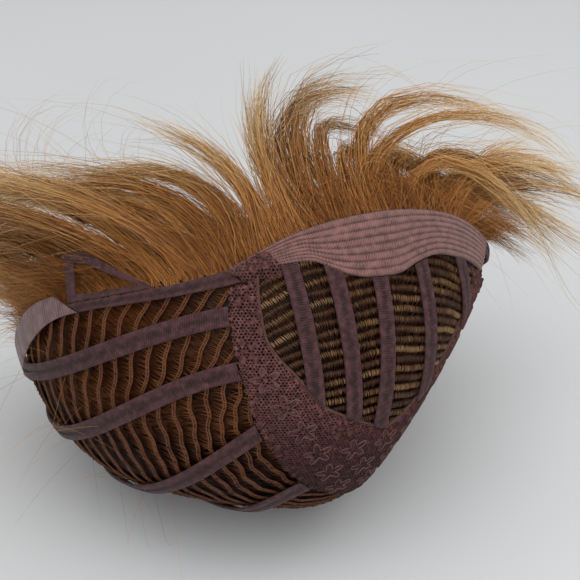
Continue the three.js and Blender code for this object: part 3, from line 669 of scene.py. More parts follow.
def crown_path(front, back_end):
    return lambda t: np.stack([front + (back_end - front) * STRAP_OVERRUN * t,
                               STRAP_FRONT - STRAP_RUN * t], -1)


def side_path(start, bend, end, turn, sign):
    start, bend, end = (np.array(spot, float) for spot in (start, bend, end))

    def path(t):
        t = t[..., None]
        spot = start * (1 - t) ** 2 + bend * 2 * t * (1 - t) + end * t * t
        return polar(distance_of(spot), sign * (bearing_of(spot) + turn))

    return path


for i, row in enumerate(CROWN_STRAPS):
    spots = ribbon_grid(crown_path(*row), CROWN_STRAP_WIDTH, CROWN_STRAP_STEPS, in_crown)
    sew_ribbon(f"crown_strap_{i + 1}", spots)
for side_name, sign in (("left", 1), ("right", -1)):
    for i, (start, bend, end, right_turn) in enumerate(SIDE_STRAPS):
        path = side_path(start, bend, end, 0 if sign > 0 else right_turn, sign)
        spots = ribbon_grid(path, STRAP_WIDTH, STRAP_STEPS, in_sides)
        sew_ribbon(f"{side_name}_strap_{i + 1}", spots)
print("ribbons:", len(ribbon_lines))

# %% [markdown]
# ## The rim
# A ribbon edges the cap from the temples to the ears and round the nape, and a wider elastic pulls
# it in behind the ears. They are strips like the others, but laid between two bearings of the rim.

# %% Ribbons and elastic along the rim
LEFT_EDGE = {"temple": 48, "tab": 62, "ear": 76.5, "nape": 124}
RIGHT_EDGE = {"temple": -62, "tab": -78, "ear": -92, "nape": -126}
END_GAP, TEMPLE_GAP = 0.2, 0.5
ELASTIC_RISE = 7.5
ELASTIC_STEPS, ELASTIC_COLUMNS = 170, 26
ELASTIC_RIB, ELASTIC_PITCH, ELASTIC_SLANT = 0.10, 1.5, 0.8


def turned(bearing):
    """Bearings past the nape, counted from the other side."""
    return np.where(bearing > 180, bearing - 360, bearing)


def rim_grid(first, last, steps, columns, rise=0.0):
    turns = turned(np.linspace(first, last, steps))[:, None]
    shares = (across(columns)[None, :] + 1) / 2
    reach = rim_at(turns) - RIBBON_WIDTH + (RIBBON_WIDTH + rise) * shares
    return polar(reach, np.broadcast_to(turns, reach.shape))


def elastic_ribs(run, side):
    """Slanting ribs of the elastic."""
    return ELASTIC_RIB * np.sin((run + ELASTIC_SLANT * side) * 2 * np.pi / ELASTIC_PITCH) - ELASTIC_RIB


def make_elastic(name, first, last):
    spots = rim_grid(first, last, ELASTIC_STEPS, ELASTIC_COLUMNS, ELASTIC_RISE)
    shares = np.broadcast_to(across(ELASTIC_COLUMNS), spots.shape[:2])
    mesh = strip_mesh(name, spots, shares, elastic_ribs)
    piece = object_of(name, mesh, elastic, "elastic", name)
    length = steps_along(spots[:, ELASTIC_COLUMNS // 2], CLOTH_INNER).sum() * MM
    area_of(spots)
    print(name, round(length, 3), "m long")


for name, first, last, steps in (
        ("edge_ribbon_left", LEFT_EDGE["temple"] + TEMPLE_GAP, LEFT_EDGE["ear"] - END_GAP, 50),
        ("edge_ribbon_right", RIGHT_EDGE["ear"] + END_GAP, RIGHT_EDGE["temple"] - TEMPLE_GAP, 50),
        ("nape_ribbon", LEFT_EDGE["nape"] + END_GAP, 360 + RIGHT_EDGE["nape"] - END_GAP, 90)):
    sew_ribbon(name, rim_grid(first, last, steps, RIBBON_COLUMNS))
make_elastic("nape_elastic_left", LEFT_EDGE["ear"] + END_GAP, LEFT_EDGE["nape"] - END_GAP)
make_elastic("nape_elastic_right", RIGHT_EDGE["nape"] + END_GAP, RIGHT_EDGE["ear"] - END_GAP)

# %% [markdown]
# ## Ear tabs
# A short ribbon is folded into a triangle and sewn to the rim in front of each ear. It could be
# three strips, but one shell that is closed on itself has no seams at the corners.

# %% Ear tabs
TAB_HEIGHT, TAB_LEAN, TAB_TIP, TAB_FRAME, TAB_LEAST = 22.0, 0.62, 10.0, 6.2, 0.35
TAB_SIDE_STEPS = 16
TAB_FOOT, TAB_END = 0.6, 0.6


def tab_foot(bearing):
    return polar(rim_at(bearing) + TAB_FOOT, bearing)


def tab_grid(front, back_end):
    """Chart points round the triangular frame, from its outer to its inner edge."""
    a, b = tab_foot(front), tab_foot(back_end)
    base = np.linalg.norm(b - a)
    along = (b - a) / base
    lift = np.array([-along[1], along[0]]) * np.sign(front)
    tip = base * TAB_LEAN
    outer = np.array([[0, 0], [tip, TAB_HEIGHT], [tip + TAB_TIP, TAB_HEIGHT], [base, 0]])
    middle = outer.mean(0)
    span = np.linalg.norm(outer - middle, axis=1, keepdims=True)
    inner = middle + (outer - middle) * np.maximum(1 - TAB_FRAME / span, TAB_LEAST)
    rows = []
    for i in range(4):
        for share in np.arange(TAB_SIDE_STEPS) / TAB_SIDE_STEPS:
            ends = [loop[i] * (1 - share) + loop[(i + 1) % 4] * share for loop in (outer, inner)]
            out, into = (a + along * run + lift * rise for run, rise in ends)
            if i == 3:
                out = tab_foot(back_end + (front - back_end) * share)
            rows.append([out + (into - out) * (c + 1) / 2 for c in across(RIBBON_COLUMNS)])
    return np.array(rows)


sew_ribbon("ear_tab_left", tab_grid(LEFT_EDGE["tab"], LEFT_EDGE["ear"] - TAB_END), closed=True)
sew_ribbon("ear_tab_right", tab_grid(RIGHT_EDGE["tab"], RIGHT_EDGE["ear"] + TAB_END), closed=True)
print("ear tabs", TAB_HEIGHT, "mm high")

# %% [markdown]
# ## Lace
# Lace is a net with a pattern worked into it. Here the net is a real one: a sheet of six-sided
# cells, each with a hole, and the flowers are cells that are closed and stand a little higher. A
# see-through texture would be lighter, but it would not be there in the exported mesh.

# %% Where the lace lies
LACE_GAP = 1.2
NET_THICK, NET_LIFT = 0.5, 0.2
BAND_COVER, COVER_START, COVER_LAP, COVER_INSET = 37.0, 4, 3, 1.0
CLIMB_RUN = 2.5
HEM_SINK, HEM_WIDTH = 1.0, 4.0


def over_band(spots):
    """How far the lace has climbed onto the left end of the velvet band, from 0 to 1."""
    bearing, distance = bearing_of(spots), distance_of(spots)
    climb = np.clip((distance - band_at(bearing) + COVER_LAP) / CLIMB_RUN, 0, 1)
    return np.where((bearing > BAND_COVER - COVER_START) & (bearing < BAND_LEFT + BAND_LAP), climb, 0)


def in_lace(spots, margin):
    bearing, distance = bearing_of(spots), distance_of(spots)
    turn = np.abs(bearing)
    inside = (turn > LACE_START) & (distance > lace_inner_at(turn) + margin)
    inside &= distance < lace_outer_at(turn) - margin
    inside &= distance < cover_edge(bearing) - LACE_GAP
    band_end = (bearing > BAND_COVER) & (bearing < BAND_LEFT)
    band_end &= distance < rim_at(bearing) - COVER_INSET
    return inside | (band_end & (distance > band_at(bearing) - COVER_START))


def lace_height(spots):
    """The underside of the lace: sewn down along its inner edge, and over the end of the band."""
    low = CLOTH_INNER + NET_LIFT
    from_edge = distance_of(spots) - lace_inner_at(np.abs(bearing_of(spots)))
    sewn_down = HEM_SINK * np.clip(1 - from_edge / HEM_WIDTH, 0, 1)
    climb = over_band(spots)
    return low - sewn_down * (1 - climb) + climb * (CLOTH_OUTER + NET_LIFT - low)


print("past its hem the lace lies", lace_height(polar(35, 120)).round(2), "mm off the dome")

# %% Flowers on the lace
FLOWER_PITCH, FLOWER_ROW, FLOWER_SIZE = 13.0, 0.8, 5.0
PETALS, PETAL_MEAN, PETAL_SWING = 5, 0.68, 0.32


def flower_centres(spots):
    """The middle of the flower nearest to each point."""
    row = np.round(spots[:, 1] / (FLOWER_PITCH * FLOWER_ROW))
    shove = (row % 2) * FLOWER_PITCH / 2
    column = np.round((spots[:, 0] - shove) / FLOWER_PITCH)
    return np.stack([column * FLOWER_PITCH + shove, row * FLOWER_PITCH * FLOWER_ROW], -1)


def petal_reach(turn):
    return FLOWER_SIZE * (PETAL_MEAN + PETAL_SWING * np.cos(PETALS * turn))


print("petals reach", petal_reach(0), "mm out")

# %% Cells of the net
CELL, ROW_STEP = 1.2, 0.866
CELL_MARGIN, KNOT_SLACK = 0.25, 0.13
NET_HOLE, HOLE_RANGE = 0.56, (0.75, 1.15)
EYE_REACH, EYE_WIDTH = 1.6, 0.6
KNOTS_PER_MM = 50
reach = LACE[0][2] + CELL
rows, columns = (np.arange(-int(reach / step), int(reach / step) + 1) for step in (CELL * ROW_STEP, CELL))
grid_row, grid_column = (part.ravel() for part in np.meshgrid(rows, columns, indexing="ij"))
cells = np.stack([(grid_column + 0.5 * (grid_row % 2)) * CELL, grid_row * CELL * ROW_STEP], -1)
cells = cells[in_lace(cells, CELL * CELL_MARGIN)]
corner_turns = np.radians(np.arange(6) * 60 + 30)
corner_ring = np.stack([np.cos(corner_turns), np.sin(corner_turns)], -1) * CELL / np.sqrt(3)
corners = (cells[:, None] + corner_ring).reshape(-1, 2)
keys, corner_of = np.unique(np.round(corners * KNOTS_PER_MM).astype(int), axis=0, return_inverse=True)
corner_of = corner_of.reshape(-1, 6)
loose = np.random.default_rng(3)
knots = keys / KNOTS_PER_MM + loose.normal(0, KNOT_SLACK * CELL, keys.shape)
centres = knots[corner_of].mean(1)
from_flower = cells - flower_centres(cells)
from_middle = np.hypot(*from_flower.T)
worked = from_middle < petal_reach(np.arctan2(from_flower[:, 1], from_flower[:, 0]))
worked &= np.abs(from_middle - EYE_REACH) > EYE_WIDTH
open_cells = np.flatnonzero(~worked)
shrink = NET_HOLE * loose.uniform(*HOLE_RANGE, (len(open_cells), 1, 1))
open_centres = centres[open_cells, None]
holes = open_centres + (knots[corner_of[open_cells]] - open_centres) * shrink
print("lace cells", len(cells), "of them worked closed", int(worked.sum()))

# %% Net with a top, an underside and walls in every hole
FLOWER_LIFT = 0.3
DOUBLED_AND_PAINTED_SHADE, BACK_SHADE_REACH = 0.55, 30
net_spots = np.concatenate([knots, holes.reshape(-1, 2)])
lift = np.zeros(len(net_spots))
np.maximum.at(lift, corner_of[worked].ravel(), FLOWER_LIFT)
net_low = on_dome(net_spots, lace_height(net_spots))
net_top = on_dome(net_spots, lace_height(net_spots) + NET_THICK + lift)
count = len(net_spots)
after = (np.arange(6) + 1) % 6
rims = corner_of[open_cells]
hole_of = len(knots) + np.arange(len(open_cells) * 6).reshape(-1, 6)
tops = quads_of(rims, rims[:, after], hole_of[:, after], hole_of)
walls = quads_of(hole_of, hole_of[:, after], hole_of[:, after] + count, hole_of + count)
edges = np.stack([corner_of, corner_of[:, after]], -1).reshape(-1, 2)
_, first_use, uses = np.unique(np.sort(edges, 1), axis=0, return_index=True, return_counts=True)
start, end = edges[first_use[uses == 1]].T
skirts = quads_of(end, start, start + count, end + count)
filled = corner_of[worked]
quads = np.concatenate([tops, tops[:, ::-1] + count, walls, skirts])
faces = quads.tolist() + filled.tolist() + (filled[:, ::-1] + count).tolist()
points = np.concatenate([net_top, net_low])
if faces_inward(points, quads):
    faces = [face[::-1] for face in faces]
lace_mesh = mesh_of("lace_band", points, faces, smooth=False)
# Darker toward the back of the crown: partly lace lying double, partly painted shade where it faces down.
doubled_and_painted_shade = DOUBLED_AND_PAINTED_SHADE * np.clip(-net_spots[:, 1] / BACK_SHADE_REACH, 0, 1)
store(lace_mesh, run=np.tile(net_spots[:, 0], 2), side=np.tile(net_spots[:, 1], 2),
      fold=np.tile(doubled_and_painted_shade, 2))
lace_band = object_of("lace_band", lace_mesh, lace, "lace", "lace_band")

# %% [markdown]
# ## Threads and strands
# Hair, fringe, cords and stitches are thousands of thin things that follow lines. One Geometry Nodes
# tree sweeps a small ring along every line, so a strand is a closed tube that can taper. Blender's
# own hair curves would be lighter, but the export needs plain meshes.

# %% The sweeping tree
sweep_tree = bpy.data.node_groups.new("sweep_strands", "GeometryNodeTree")
for label, way, kind in (("Geometry", "INPUT", "NodeSocketGeometry"), ("Sides", "INPUT", "NodeSocketInt"),
                         ("Material", "INPUT", "NodeSocketMaterial"),
                         ("Geometry", "OUTPUT", "NodeSocketGeometry")):
    sweep_tree.interface.new_socket(label, in_out=way, socket_type=kind)
given = add(sweep_tree, "NodeGroupInput")
lines = add(sweep_tree, "GeometryNodeMeshToCurve", {"Mesh": given.outputs["Geometry"]})
width = add(sweep_tree, "GeometryNodeInputNamedAttribute", {"Name": "thick"}, data_type="FLOAT")
sized = add(sweep_tree, "GeometryNodeSetCurveRadius",
            {"Curve": lines.outputs["Curve"], "Radius": width.outputs["Attribute"]})
outline = add(sweep_tree, "GeometryNodeCurvePrimitiveCircle",
              {"Resolution": given.outputs["Sides"], "Radius": 1.0})
tubes = add(sweep_tree, "GeometryNodeCurveToMesh",
            {"Curve": sized.outputs["Curve"], "Profile Curve": outline.outputs["Curve"],
             "Fill Caps": True})
if "Scale" in tubes.inputs:
    sweep_tree.links.new(width.outputs["Attribute"], tubes.inputs["Scale"])
whole = add(sweep_tree, "GeometryNodeRealizeInstances", {"Geometry": tubes.outputs["Mesh"]})
dyed = add(sweep_tree, "GeometryNodeSetMaterial",
           {"Geometry": whole.outputs["Geometry"], "Material": given.outputs["Material"]})
add(sweep_tree, "NodeGroupOutput", {"Geometry": dyed.outputs["Geometry"]})
print("sweeping tree:", len(sweep_tree.nodes), "nodes")


# %% Turning lines into pieces
STRAND_SIDES = 3


def swept(name, points, edges, material, sides, **values):
    """Sweeps lines between points in mm, and returns the plain mesh that the tree makes."""
    source = bpy.data.meshes.new(name + "_lines")
    source.vertices.add(len(points))
    source.vertices.foreach_set("co", (points * MM).astype(np.float32).ravel())
    source.edges.add(len(edges))
    source.edges.foreach_set("vertices", edges.astype(np.int32).ravel())
    store(source, **values)
    holder = bpy.data.objects.new(name + "_lines", source)
    bpy.context.scene.collection.objects.link(holder)
    modifier = holder.modifiers.new("grow", "NODES")
    modifier.node_group = sweep_tree
    for label, value in (("Sides", sides), ("Material", material)):
        modifier[sweep_tree.interface.items_tree[label].identifier] = value
    depsgraph = bpy.context.evaluated_depsgraph_get()
    made = bpy.data.meshes.new_from_object(holder.evaluated_get(depsgraph),
                                           preserve_all_data_layers=True, depsgraph=depsgraph)
    holder.modifiers.clear()
    bpy.data.objects.remove(holder)
    made.name = name
    return made


def strand_piece(name, paths, thick, tint, material, slot, nodes=(), reach=1.0):
    """A piece made of strands, root first, coloured up to a reach of the whole hair's length."""
    count, steps = paths.shape[:2]
    index = np.arange(count * steps).reshape(count, steps)
    edges = np.stack([index[:, :-1], index[:, 1:]], -1).reshape(-1, 2)
    values = {"thick": thick * MM, "along": np.linspace(0, reach, steps), "tint": tint}
    made = swept(name, paths.reshape(-1, 3), edges, material, STRAND_SIDES,
                 **{key: np.broadcast_to(value, (count, steps)) for key, value in values.items()})
    made.polygons.foreach_set("use_smooth", np.ones(len(made.polygons), bool))
    print(name, count, "strands", len(made.polygons), "faces")
    return object_of(name, made, None, slot, *nodes)


print("a strand has", STRAND_SIDES, "sides")

# %% [markdown]
# ## Stitches
# The ribbons are sewn on with a ladder of short dark stitches down their middle, the velvet has rows
# of fine upright stitches, and the flowers of the lace are edged with a thicker thread. They could be
# painted on, but each is a short thread swept between two points, so that it also shows in the mesh.

# %% Ladders on the ribbons
LOOK_AHEAD = 0.5
RUNG_PITCH, RUNG_HALF, RUNG_THICK, RUNG_SINK = 1.6, 0.75, 0.17, 0.02


def places_at(line, at):
    """Chart points at runs along a line, with the way along it and the way to one side."""
    run = runs_along(line)
    here, before, after = (np.stack([np.interp(at + gap, run, line[:, k]) for k in range(2)], -1)
                           for gap in (0, -LOOK_AHEAD, LOOK_AHEAD))
    ahead = unit(after - before + TINY)
    return here, ahead, np.stack([-ahead[:, 1], ahead[:, 0]], -1)


def rungs(line, pitch, half, height):
    """Short threads across a line."""
    here, _, aside = places_at(line, np.arange(pitch, runs_along(line)[-1] - pitch / 2, pitch))
    spots = here[:, None] + aside[:, None] * np.array([-half, half])[None, :, None]
    return on_dome(spots, height)


ladder = np.concatenate([rungs(line, RUNG_PITCH, RUNG_HALF, CLOTH_OUTER - RUNG_SINK)
                         for line in ribbon_lines])
strand_piece("ribbon_stitches", ladder, RUNG_THICK, 0.5, dark_thread, "ribbon")

# %% Upright stitches on the velvet
TUFT_PITCH, TUFT_SHARE, TUFT_THICK, TUFT_RISE = 1.15, 0.3, 0.11, 0.02
band_middle = band_spots[BAND_STEPS // 2]
tuft_half = TUFT_SHARE * np.linalg.norm(band_middle[-1] - band_middle[0]) / BAND_ROWS
band_threads = []
for i in range(BAND_ROWS):
    column = int(np.argmin(np.abs(band_v[0] - (i + 0.5) / BAND_ROWS)))
    band_threads.append(rungs(band_spots[:, column], TUFT_PITCH, tuft_half, CLOTH_OUTER + TUFT_RISE))
strand_piece("band_stitches", np.concatenate(band_threads), TUFT_THICK, 0.9, velvet_thread, "velvet")

# %% Threads round the flowers and along the inner edge of the lace
EDGING_THICK, EDGING_LIFT, EDGING_MARGIN, WHOLE_FLOWER = 0.24, 0.25, 0.6, 0.97
HEM_THICK, HEM_HEIGHT, HEM_INSET, HEM_STEPS = 1.0, 0.3, 0.5, 160
turn = np.linspace(0, 2 * np.pi, 41)
petals = petal_reach(turn)[:, None] * np.stack([np.cos(turn), np.sin(turn)], -1)
flowers = np.unique(flower_centres(cells), axis=0)[:, None] + petals
on_lace = in_lace(flowers.reshape(-1, 2), EDGING_MARGIN).reshape(len(flowers), -1)
flowers = flowers[on_lace.mean(1) > WHOLE_FLOWER]
outlines = on_dome(flowers, lace_height(flowers) + NET_THICK + EDGING_LIFT)
lace_edging = strand_piece("lace_edging", outlines, EDGING_THICK, 0.8, lace_thread, "lace")
turn = turned(np.linspace(LACE_START + 1, 360 + BAND_RIGHT - 4, HEM_STEPS))
hem = on_dome(polar(lace_inner_at(np.abs(turn)) + HEM_INSET, turn), HEM_HEIGHT)
lace_hem = strand_piece("lace_hem", hem[None], HEM_THICK, 0.4, lace_thread, "lace")

# %% [markdown]
# ## Sewn rows
# The cap itself is made of wefts: hair fibre sewn along a cord. Crown rows lie close together and
# show bright loops over the cord. Side and back rows lie further apart, and fibre runs from each cord
# under the next one. A bump texture could hint at them, but the gaps between the rows are open.

# %% Rows on the chart
WEFT_TUCK, CROWN_TUCK, BACK_TUCK = 2.0, 7.0, 3.0
CROWN_WAVES = [(0.35, 0.21, 1.7), (0.2, 0.57, 1)]  # size, rate along the row, lag by row
BACK_WAVES = [(0.7, 0.23, 1), (0.4, 0.61, 2)]
CROWN_PITCH, CROWN_SKEW, CROWN_SAG, CROWN_STEP = 3.7, 0.14, 0.007, 2.0
CROWN_FIRST, CROWN_LAST, CROWN_HALF = -18, 56, 62
BACK_FIRST, BACK_PITCH, BACK_GROWTH, BACK_STEP = 45.1, 4.5, 1.028, 2.4


def wander(at, row, waves):
    """How far a row strays from its line where it was sewn unevenly, in mm."""
    return sum(size * np.sin(at * rate + row * lag) for size, rate, lag in waves)


def crown_rows():
    """Rows across the crown, each a list of chart points that ends under the lace or the band."""
    rows = []
    for start in np.arange(CROWN_FIRST, CROWN_LAST, CROWN_PITCH):
        p = np.arange(-CROWN_HALF, CROWN_HALF, CROWN_STEP)
        line = start + CROWN_SKEW * p - CROWN_SAG * p * p
        spots = np.stack([p, line + wander(p, start, CROWN_WAVES)], -1)
        bearing = bearing_of(spots)
        turn = np.abs(bearing)
        lace_limit = np.where(turn < LACE_START, np.inf, lace_inner_at(turn) + CROWN_TUCK)
        band_limit = np.where(on_band(bearing), band_at(bearing) + WEFT_TUCK, np.inf)
        limit = np.minimum(np.minimum(lace_limit, band_limit), rim_at(bearing) - WEFT_TUCK)
        inside = np.flatnonzero(distance_of(spots) < limit)
        if len(inside) > 5:
            rows.append(spots[inside[0]:inside[-1] + 1])
    return rows


def back_rows():
    """Rows round the sides and back, each with its pitch, cut under the lace and at the rim."""
    rows = []
    distance, pitch = BACK_FIRST, BACK_PITCH
    while distance < RIM[0][1] - RIBBON_WIDTH:
        around = CHART_RADIUS * np.sin(distance / CHART_RADIUS)
        bearing = np.arange(40, 320, np.degrees(BACK_STEP / around))
        reach = distance + wander(bearing, distance, BACK_WAVES)
        turn = turned(bearing)
        free = distance > lace_outer_at(np.abs(turn)) - BACK_TUCK
        free &= distance < rim_at(turn) - WEFT_TUCK
        for part in np.split(np.arange(len(bearing)), np.flatnonzero(np.diff(free.astype(int))) + 1):
            if free[part[0]] and len(part) > 4:
                rows.append((polar(reach[part], turn[part]), pitch))
        pitch *= BACK_GROWTH
        distance += pitch
    return rows


crown, back_set = crown_rows(), back_rows()
print("rows:", len(crown), "across the crown,", len(back_set), "round the sides and back")

# %% Cords and places along the rows
WEFT_SEED, UNEVEN = 7, 0.3
rng = np.random.default_rng(WEFT_SEED)


def cord_piece(name, rows, height, thick, tint, sides):
    """Rows of different length as one piece of cords."""
    spots = np.concatenate(rows)
    ends = np.cumsum([len(row) for row in rows])
    edges = np.stack([np.arange(len(spots) - 1), np.arange(1, len(spots))], -1)
    edges = np.delete(edges, ends[:-1] - 1, axis=0)
    values = {"thick": thick * MM, "tint": tint, "along": 0.5}
    cord = swept(name, on_dome(spots, height), edges, weft, sides,
                 **{key: np.full(len(spots), value) for key, value in values.items()})
    print(name, len(rows), "cords", len(cord.polygons), "faces")
    object_of(name, cord, None, "weft", name)


def along_row(row, spacing):
    """Uneven places along a row: runs, chart points, the way along and the way to one side."""
    at = np.arange(spacing / 2, runs_along(row)[-1], spacing)
    at = at + rng.uniform(-UNEVEN, UNEVEN, len(at)) * spacing
    return at, *places_at(row, at)


def patches(at, seed):
    """Slow changes of tint along a row, from dark to bright."""
    return 0.5 + 0.5 * np.sin(at * 0.11 + seed * 2.3) * np.sin(at * 0.047 + seed * 5.1 + 1)


print("the first crown row is", runs_along(crown[0])[-1].round(1), "mm long")

# %% Fibres over and under the cords
ARCH = np.array([-1.0, -0.55, 0.55, 1.0])
LOOP_TONES = (0.4, 0.62)
FRINGE_STEPS, FRINGE_DIVE, FRINGE_RISE = np.array([-0.1, 0.4, 1.1]), np.array([0.0, 0.4, 1.0]), 0.1


def loops_over(rows, spacing, half_width, top, depth):
    """Small arches of fibre across a row, every second row brighter, with their tints."""
    arches, shades = [], []
    for i, row in enumerate(rows):
        at, here, ahead, aside = along_row(row, spacing)
        slant = rng.normal(0.2, 0.12, (len(at), 1))
        spots = here[:, None] + aside[:, None] * (ARCH * half_width)[None, :, None]
        spots = spots + (ahead * slant)[:, None] * ARCH[None, :, None]
        arches.append(on_dome(spots, top - depth * ARCH ** 4))
        row_tone = LOOP_TONES[i % 2]
        tone = 0.25 * row_tone + 0.75 * row_tone * 2 * patches(at, i) - 0.1
        shades.append(np.clip(tone + rng.normal(0, 0.12, len(at)), 0, 1))
    return np.concatenate(arches), np.concatenate(shades)[:, None]


def fringe_under(rows, spacing, side_sign, drop):
    """Fibres that leave each cord and dive under the next one, with painted light on the upper rows and
    painted shade toward the nape.
    """
    fibres, shades = [], []
    for i, (row, pitch) in enumerate(rows):
        at, here, ahead, aside = along_row(row, spacing)
        slant = rng.normal(0.0, 0.22, (len(at), 1))
        steps = FRINGE_STEPS * pitch * side_sign
        spots = here[:, None] + (aside + ahead * slant)[:, None] * steps[None, :, None]
        rise = FRINGE_RISE - FRINGE_DIVE * drop + rng.uniform(-0.25, 0.2, (len(at), 1))
        fibres.append(on_dome(spots, rise))
        # Painted light and shade by bearing: upper rows lighter, rows toward the nape darker.
        light = 0.28 * np.clip((105 - np.abs(bearing_of(here))) / 25, -1.4, 0.7)
        tone = 0.15 + 0.6 * patches(at, i) + light + rng.normal(0, 0.18, len(at))
        shades.append(np.clip(tone, 0, 1))
    return np.concatenate(fibres), np.concatenate(shades)[:, None]


print("a fringe fibre runs to", FRINGE_STEPS[-1], "of the way to the next cord")

# %% Crown rows
CROWN_CORD, CROWN_DEPTH = 0.75, -0.75
CROWN_FIBRE, CROWN_SHADE = 0.2, 0.5
cord_piece("crown_weft", crown, CROWN_DEPTH, CROWN_CORD, tint=0.15, sides=5)
arches, shades = loops_over(crown, spacing=0.74, half_width=1.2, top=0.25, depth=0.75)
strand_piece("crown_weft_loops", arches, CROWN_FIBRE, shades, painted_highlight_weft, "weft")
crown_set = [(row, CROWN_PITCH) for row in crown]
fibres, shades = fringe_under(crown_set, spacing=1.1, side_sign=-1, drop=1.8)
# Painted shade: the crown fringe is halved in tone in the narrow gaps between the crown rows.
strand_piece("crown_weft_fringe", fibres, CROWN_FIBRE, CROWN_SHADE * shades, fringe, "weft")

# %% Side and back rows
BACK_CORD, BACK_DEPTH, CORD_PAIR = 0.36, -0.25, 0.42
BACK_FIBRE = 0.24
cord_pairs = [row + unit(row) * offset for row, _ in back_set for offset in (-CORD_PAIR, CORD_PAIR)]
cord_piece("back_weft", cord_pairs, BACK_DEPTH, BACK_CORD, tint=0.55, sides=4)
fibres, shades = fringe_under(back_set, spacing=0.75, side_sign=1, drop=2.4)
strand_piece("back_weft_fringe", fibres, BACK_FIBRE, shades, fringe, "weft")

# %% [markdown]
# ## Hair inside the cap
# Under the rows lies the hair itself. From outside it only shows as brown in the gaps, and from above
# it lines the bowl. Strands alone would need many thousands to close the gaps, so a thin shell closes
# them, and strands lie over its inner side.

# %% Inner hair shell
HAIR_OUTER, HAIR_INNER, HAIR_INSET = -2.0, -4.4, 1.5
SHELL_TURNS, SHELL_RINGS, POLE = 144, 41, 0.001
NAPE_START, NAPE_SHADE = 108, 0.2
turns = np.linspace(-180, 180, SHELL_TURNS + 1)[:-1][:, None]
rings = np.linspace(0.0, 1.0, SHELL_RINGS)
reach = (rim_at(turns) - HAIR_INSET) * np.maximum(rings, POLE)
wide_turns = np.broadcast_to(turns, reach.shape)
spots = polar(reach, wide_turns)
groove = 0.35 * np.sin(turns * 2.9) * np.sin(np.pi * rings)
shell = shell_mesh("hair_inner", on_dome(spots, HAIR_OUTER), on_dome(spots, HAIR_INNER + groove),
                   reach, wide_turns, closed=True)
# Painted shade on the outer side of the shell, seen through the gaps: darkest under the crown, paler
# toward the rim, dark again round the nape.
outer_painted_shade = 0.5 * np.clip(reach / 110 - 0.3, 0, 1) * np.where(np.abs(turns) > NAPE_START, NAPE_SHADE, 1.0)
store(shell, along=np.concatenate([outer_painted_shade.ravel(), np.full(reach.size, 0.5)]),
      tint=np.tile((0.35 + 0.25 * np.sin(wide_turns * 7.3)).ravel(), 2))
object_of("hair_inner", shell, inner_hair, "hair", "hair_inner_crown", "hair_inner_left",
          "hair_inner_back_left", "hair_inner_back_right", "hair_inner_right")
print("inner shell", len(shell.polygons), "faces")

# %% Strands that line the bowl
LINING_COUNT, LINING_POINTS, LINING_THICK = 1000, 6, 0.3
turn = rng.uniform(-180, 180, LINING_COUNT)
start = rng.uniform(0.05, 0.75, LINING_COUNT)
span = rng.uniform(0.25, 0.5, LINING_COUNT)
s = np.linspace(0, 1, LINING_POINTS)
reach = np.clip(start[:, None] + span[:, None] * s, 0, 1) * (rim_at(turn) - HAIR_INSET)[:, None]
swing = rng.normal(0, 5, LINING_COUNT)[:, None] * np.sin(np.pi * s)[None, :]
swing = swing + rng.normal(0, 6, LINING_COUNT)[:, None] * s
height = HAIR_INNER - rng.uniform(0.4, 2.4, (LINING_COUNT, 1)) * np.sin(np.pi * (0.1 + 0.8 * s))
lining = on_dome(polar(reach, turn[:, None] + swing), height)
strand_piece("hair_lining", lining, LINING_THICK, rng.uniform(0.1, 1, (LINING_COUNT, 1)), hair, "hair")

# %% [markdown]
# ## Hair out of the opening
# The hair leaves the rim, stands up, and falls over: to the right from the front, to the left past
# the left ear, and back at the nape. A table gives the length and the fall by bearing, close to the
# one of the solids. A particle system could grow it too, but here every strand follows one simple
# rule: it starts out of the rim and turns step by step toward its fall, and past it at the tip.

# %% How the hair falls
LOCKS = [  # bearing, length, sway, lean, fall x, fall y, fall z, curl, over
    (-180, 52, 0, 0.3, 0.1, 0.8, -0.3, 1.2, 1.3),
    (-135, 58, 0, 0.3, 0.7, 0.6, -0.3, 1.2, 1.3),
    (-100, 66, 0, 0.5, 0.95, 0.2, -0.1, 1.1, 1.3),
    (-74, 76, -0.1, 0.4, 0.9, 0, -0.3, 0.8, 1.3),
    (-55, 92, -0.1, 0.3, 0.84, 0.05, -0.5, 0.8, 1.4),
    (-35, 108, -0.1, 0.3, 0.76, 0.05, -0.65, 0.8, 1.4),
    (-15, 104, 0, 0.25, 0.76, 0.08, -0.62, 1.0, 1.4),
    (0, 94, 0, 0.25, 0.8, 0.1, -0.5, 1.4, 1.4),
    (12, 88, 0.1, 0.2, 0.85, 0.15, -0.2, 1.8, 1.35),
    (25, 54, 0.0, 0.2, 0.1, 0.3, 0.8, 1.5, 1.0),
    (34, 62, -0.2, 0.2, -0.8, 0.2, 0.4, 1.2, 1.15),
    (44, 104, -0.3, 0.2, -1, 0.12, -0.3, 0.95, 1.3),
    (60, 120, 0.6, 0.25, -1, 0.08, -0.05, 0.85, 1.15),
    (74, 116, 0.8, 0.35, -1, 0.05, -0.15, 0.85, 1.1),
    (90, 98, 0.5, 0.4, -0.97, 0.2, -0.2, 1.0, 1.2),
    (120, 62, 0.1, 0.3, -0.7, 0.6, -0.3, 1.2, 1.3),
    (180, 52, 0, 0.3, 0.1, 0.8, -0.3, 1.2, 1.3),
]
length_at, sway_at, lean_at, fall_x, fall_y, fall_z, curl_at, over_at = (
    curve_of(LOCKS, column) for column in range(1, 9))
fine_turns = np.linspace(-180, 180, 1441)
rim_run = runs_along(polar(rim_at(fine_turns), fine_turns))


def bearing_at(run):
    """The bearing at a run along the rim, in mm from the nape."""
    return np.interp(np.mod(run, rim_run[-1]), rim_run, fine_turns)


